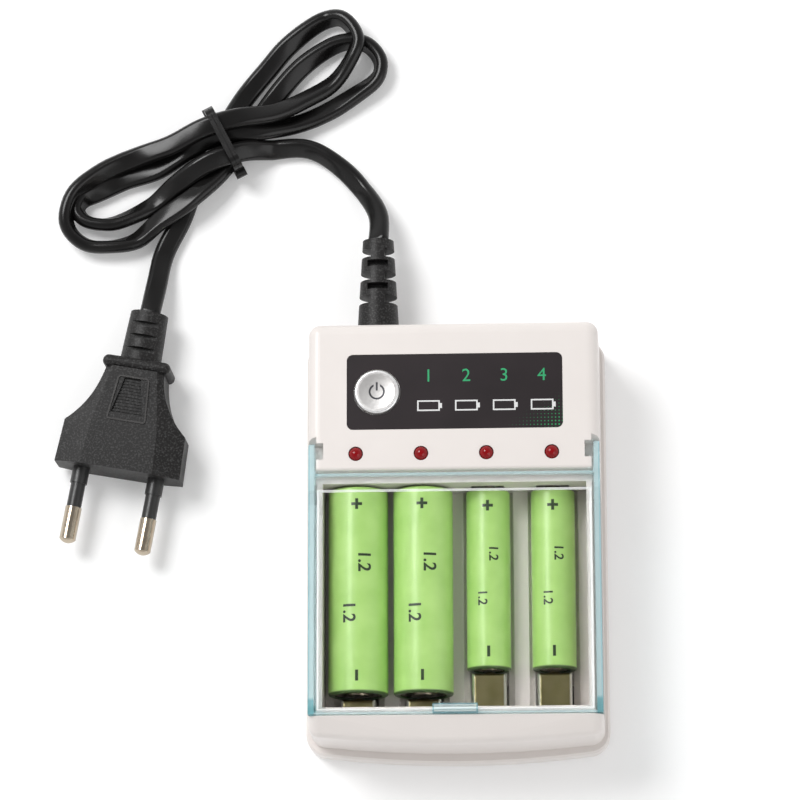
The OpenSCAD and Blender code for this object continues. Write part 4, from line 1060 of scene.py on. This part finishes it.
@dataclass
class LabelPrint:
    """Plain numbers and cell outlines printed on the label."""

    lift: float = 0.02
    columns: tuple[float, ...] = (-5.9, 3.1, 12.1, 21.1)
    number_y: float = 38.0
    number_size: float = 4.4
    cell_y: float = 30.8
    cell_w: float = 5.4
    cell_l: float = 2.6
    stroke: float = 0.35
    pole_w: float = 0.5
    pole_half_l: float = 0.6

    def number(self, text: str, x: float, ink: bpy.types.Material) -> bpy.types.Object:
        """Print one number.

        Args:
            text: the number.
            x: its middle.
            ink: its ink.

        Returns:
            The printed number.
        """
        drawn = text_mesh(
            text, self.number_size * MM, (x * MM, self.number_y * MM, (LABEL_TOP + self.lift) * MM))
        bpy.ops.object.transform_apply(location=True, rotation=True, scale=True)
        drawn.name = f"label_number_{text}"
        drawn.data.materials.clear()
        drawn.data.materials.append(ink)
        return drawn

    def cell_mark(self, name: str, x: float, ink: bpy.types.Material) -> bpy.types.Object:
        """Print the outline of one cell.

        Args:
            name: name of the piece.
            x: its middle.
            ink: its ink.

        Returns:
            The printed outline.
        """
        z = (LABEL_TOP + self.lift) * MM
        bpy.ops.object.select_all(action="DESELECT")
        bpy.ops.mesh.primitive_plane_add(size=1, location=(x * MM, self.cell_y * MM, z))
        mark = bpy.context.object
        mark.name = name
        mark.scale = (self.cell_w * MM, self.cell_l * MM, 1)
        bpy.ops.object.transform_apply(location=True, rotation=True, scale=True)
        bpy.ops.object.mode_set(mode="EDIT")
        bpy.ops.mesh.select_all(action="SELECT")
        bpy.ops.mesh.inset(thickness=self.stroke * MM)
        bpy.ops.mesh.delete(type="FACE")
        bpy.ops.object.mode_set(mode="OBJECT")
        left, near, far = x + self.cell_w / 2, self.cell_y - self.pole_half_l, self.cell_y + self.pole_half_l
        right = left + self.pole_w
        build = bmesh.new()
        build.from_mesh(mark.data)
        pole = ((left, near), (right, near), (right, far), (left, far))
        build.faces.new([build.verts.new((u * MM, v * MM, z)) for u, v in pole])
        build.to_mesh(mark.data)
        build.free()
        mark.data.materials.append(ink)
        return mark

    def build(self) -> None:
        """Print the label."""
        green = Ink("green ink", (0.02, 0.36, 0.14)).make()
        white = Ink("white ink", (0.72, 0.72, 0.72)).make()
        for i, x in enumerate(self.columns, start=1):
            attach(self.number(str(i), x, green))
            attach(self.cell_mark(f"label_cell_{i}", x, white))


@dataclass
class Housing:
    """Shells, label, button, lights and lid."""

    button_x: float = -18.2
    label_x: float = 0.3
    label_y: float = 34.3
    label_w: float = 51.2
    label_l: float = 18.2
    lid_half_w: float = 34.5
    lid_front_y: float = -42.75
    lid_bend_y: float = 10.5
    lid_rear_y: float = 14.8
    lid_top_z: float = 27.8

    def build(self) -> None:
        """Dress the housing."""
        ivory = IVORY.make()
        for node in ("base_shell", "top_shell", "switch_plunger"):
            dress(node, ivory)
        right, low = self.label_x + self.label_w / 2, self.label_y - self.label_l / 2
        dress("label_panel", PanelInk("label film", right * MM, low * MM).make())
        dress("power_button", DishedSilver("silver cap", self.button_x * MM, self.label_y * MM).make())
        lens = RedLens("red lens").make()
        for i in range(1, BAYS + 1):
            dress(f"led_{i}", lens)
        lid = ClearLidPlastic(
            "clear lid plastic", self.lid_half_w * MM, self.lid_front_y * MM, self.lid_bend_y * MM,
            self.lid_rear_y * MM, self.lid_top_z * MM,
        )
        dress("lid", lid.make())
        LabelPrint().build()


@dataclass
class Contacts:
    """Sliding contacts, springs, positive plates and the negative bus."""

    slider_w: float = 8.2

    def build(self) -> None:
        """Dress the contacts."""
        middles = tuple(bay_x(bay) * MM for bay in range(BAYS))
        channel = ChannelNickel("channel nickel", middles, self.slider_w / 2 * MM).make()
        nickel, wire = CONTACT_NICKEL.make(), SPRING_WIRE.make()
        for i in range(1, BAYS + 1):
            dress(f"sliding_contact_{i}", channel)
            dress(f"contact_spring_{i}", wire)
            dress(f"positive_contact_{i}", nickel)
        dress("negative_bus", nickel)


@dataclass
class SleevePrint:
    """Plain numbers printed along a cell's sleeve."""

    x: float
    axis_z: float
    radius: float
    middle_y: float
    size: float
    bold_share: float = 0.02
    lift: float = 0.03
    cuts: int = 3

    def number(self, name: str, text: str, turn: float, along: float, ink: bpy.types.Material) -> None:
        """Print one number and wrap it round the sleeve.

        Args:
            name: name of the piece.
            text: the number.
            turn: its place round the sleeve in degrees from the top, toward +X.
            along: its middle along Y from the middle of the cell, in millimetres.
            ink: its ink.
        """
        drawn = text_mesh(text, self.size * MM, (0, 0, 0), self.bold_share * self.size * MM)
        bpy.ops.object.mode_set(mode="EDIT")
        bpy.ops.mesh.select_all(action="SELECT")
        bpy.ops.mesh.subdivide(number_cuts=self.cuts)
        bpy.ops.object.mode_set(mode="OBJECT")
        reach = self.radius + self.lift
        for vertex in drawn.data.vertices:
            angle = math.radians(turn) + vertex.co.y / MM / self.radius
            vertex.co = Vector((
                self.x + reach * math.sin(angle), self.middle_y + along - vertex.co.x / MM,
                self.axis_z + reach * math.cos(angle))) * MM
        drawn.name = name
        drawn.data.materials.clear()
        drawn.data.materials.append(ink)
        attach(drawn)


@dataclass
class Cells:
    """Two larger and two smaller cells with their sleeves."""

    plus_y: float = 13.5
    seat_z: float = 9.6
    cap: float = 1.2
    sizes: dict[str, tuple[float, float]] = field(
        default_factory=lambda: {"aa": (14.2, 50.5), "aaa": (10.5, 44.5)})
    text: str = "1.2"
    text_share: float = 0.30
    text_turns: dict[str, float] = field(default_factory=lambda: {"rear": 14, "front": -16})
    text_shares: dict[str, float] = field(default_factory=lambda: {"rear": 0.12, "front": -0.12})

    def build(self) -> None:
        """Dress the cells."""
        steel, ink = CELL_STEEL.make(), Ink("dark green ink", (0.012, 0.03, 0.01)).make()
        bays = ((size, i) for size in self.sizes for i in (1, 2))
        for bay, (size, i) in enumerate(bays):
            diameter, length = self.sizes[size]
            x, radius = bay_x(bay), diameter / 2
            film = SleeveFilm(
                f"{size} sleeve film {i}", x * MM, (self.seat_z + radius) * MM, radius * MM,
                (self.plus_y - length) * MM, (self.plus_y - self.cap) * MM,
            )
            dress(f"{size}_sleeve_{i}", film.make())
            dress(f"{size}_can_{i}", steel)
            label = SleevePrint(
                x, self.seat_z + radius, radius, self.plus_y - length / 2, self.text_share * diameter)
            for end, turn in self.text_turns.items():
                label.number(f"{size}_number_{i}_{end}", self.text, turn, self.text_shares[end] * length, ink)


@dataclass
class Circuit:
    """Parts inside the housing."""

    finishes: dict[str, MouldedPlastic | PlatedMetal] = field(default_factory=lambda: {
        "circuit_board": BOARD_LACQUER, "transformer_core": CORE_STEEL,
        "transformer_winding": WINDING_TAPE, "filter_capacitor": CAPACITOR_FILM,
        "rectifier_diodes": BLACK_RESIN, "charge_transistors": BLACK_RESIN, "push_switch": BLACK_RESIN,
        "case_screws": SCREW_ZINC, "mains_wires": WIRE_VINYL, "bus_wire": WIRE_VINYL})

    def build(self) -> None:
        """Dress the circuit."""
        for node, finish in self.finishes.items():
            dress(node, finish.make())


@dataclass
class Plug:
    """Two-pin plug with its pins, the housing's strain relief and the cord tie."""

    half_thickness: float = 6.5
    frame_corners: tuple[tuple[float, float], ...] = ((-4.75, 11.8), (5.15, 11.8), (4.1, 23.1), (-3.7, 23.1))
    frame_width: float = 0.42
    frame_height: float = 0.2
    frame_round: float = 0.8
    frame_segments: int = 4
    sunk_share: float = 0.25

    def grip_frame(self, material: bpy.types.Material) -> None:
        """Raise the moulded frame round the grip's ribs.

        Args:
            material: its finish.
        """
        bpy.ops.object.select_all(action="DESELECT")
        bpy.ops.mesh.primitive_plane_add(size=1, location=(0, 0, 0))
        ring = bpy.context.object
        ring.name = "grip_frame"
        lean = math.radians(PLUG_ANGLE)
        across = Vector((math.cos(lean), -math.sin(lean), 0))
        along = Vector((math.sin(lean), math.cos(lean), 0))
        sunk = Vector((0, 0, self.half_thickness - self.frame_height * self.sunk_share))
        for face in ring.data.polygons:
            for vertex, (x, u) in zip(face.vertices, self.frame_corners):
                ring.data.vertices[vertex].co = (Vector(PLUG_FACE) + across * x + along * u + sunk) * MM
        bpy.ops.object.mode_set(mode="EDIT")
        bpy.ops.mesh.select_all(action="SELECT")
        bpy.ops.mesh.bevel(offset=self.frame_round * MM, segments=self.frame_segments, affect="VERTICES")
        bpy.ops.mesh.select_all(action="SELECT")
        bpy.ops.mesh.inset(thickness=self.frame_width * MM)
        bpy.ops.mesh.delete(type="FACE")
        bpy.ops.mesh.select_all(action="SELECT")
        rise = self.frame_height * (1 + self.sunk_share) * MM
        bpy.ops.mesh.extrude_region_move(TRANSFORM_OT_translate={"value": (0, 0, rise)})
        bpy.ops.mesh.select_all(action="SELECT")
        bpy.ops.mesh.normals_make_consistent(inside=False)
        bpy.ops.object.mode_set(mode="OBJECT")
        ring.data.materials.append(material)
        attach(ring)

    def build(self) -> None:
        """Dress the plug."""
        grained = PLUG_GRAIN.make()
        dress("plug_body", grained)
        self.grip_frame(GRIP_RIM.make())
        sleeve, pin, vinyl = PIN_PLASTIC.make(), PIN_NICKEL.make(), BLACK_VINYL.make()
        for i in (1, 2):
            dress(f"pin_sleeve_{i}", sleeve)
            dress(f"plug_pin_{i}", pin)
        dress("strain_relief", grained)
        dress("cord_tie", vinyl)


def main() -> None:
    """Build the classes in order."""
    logging.basicConfig(level=logging.INFO, format="%(name)s: %(message)s")
    Studio().build()
    MainsLead().build()
    for part in (Plug(), Housing(), Contacts(), Cells(), Circuit()):
        part.build()
        LOG.info("built %s", type(part).__name__)


if __name__ == "__main__":
    main()
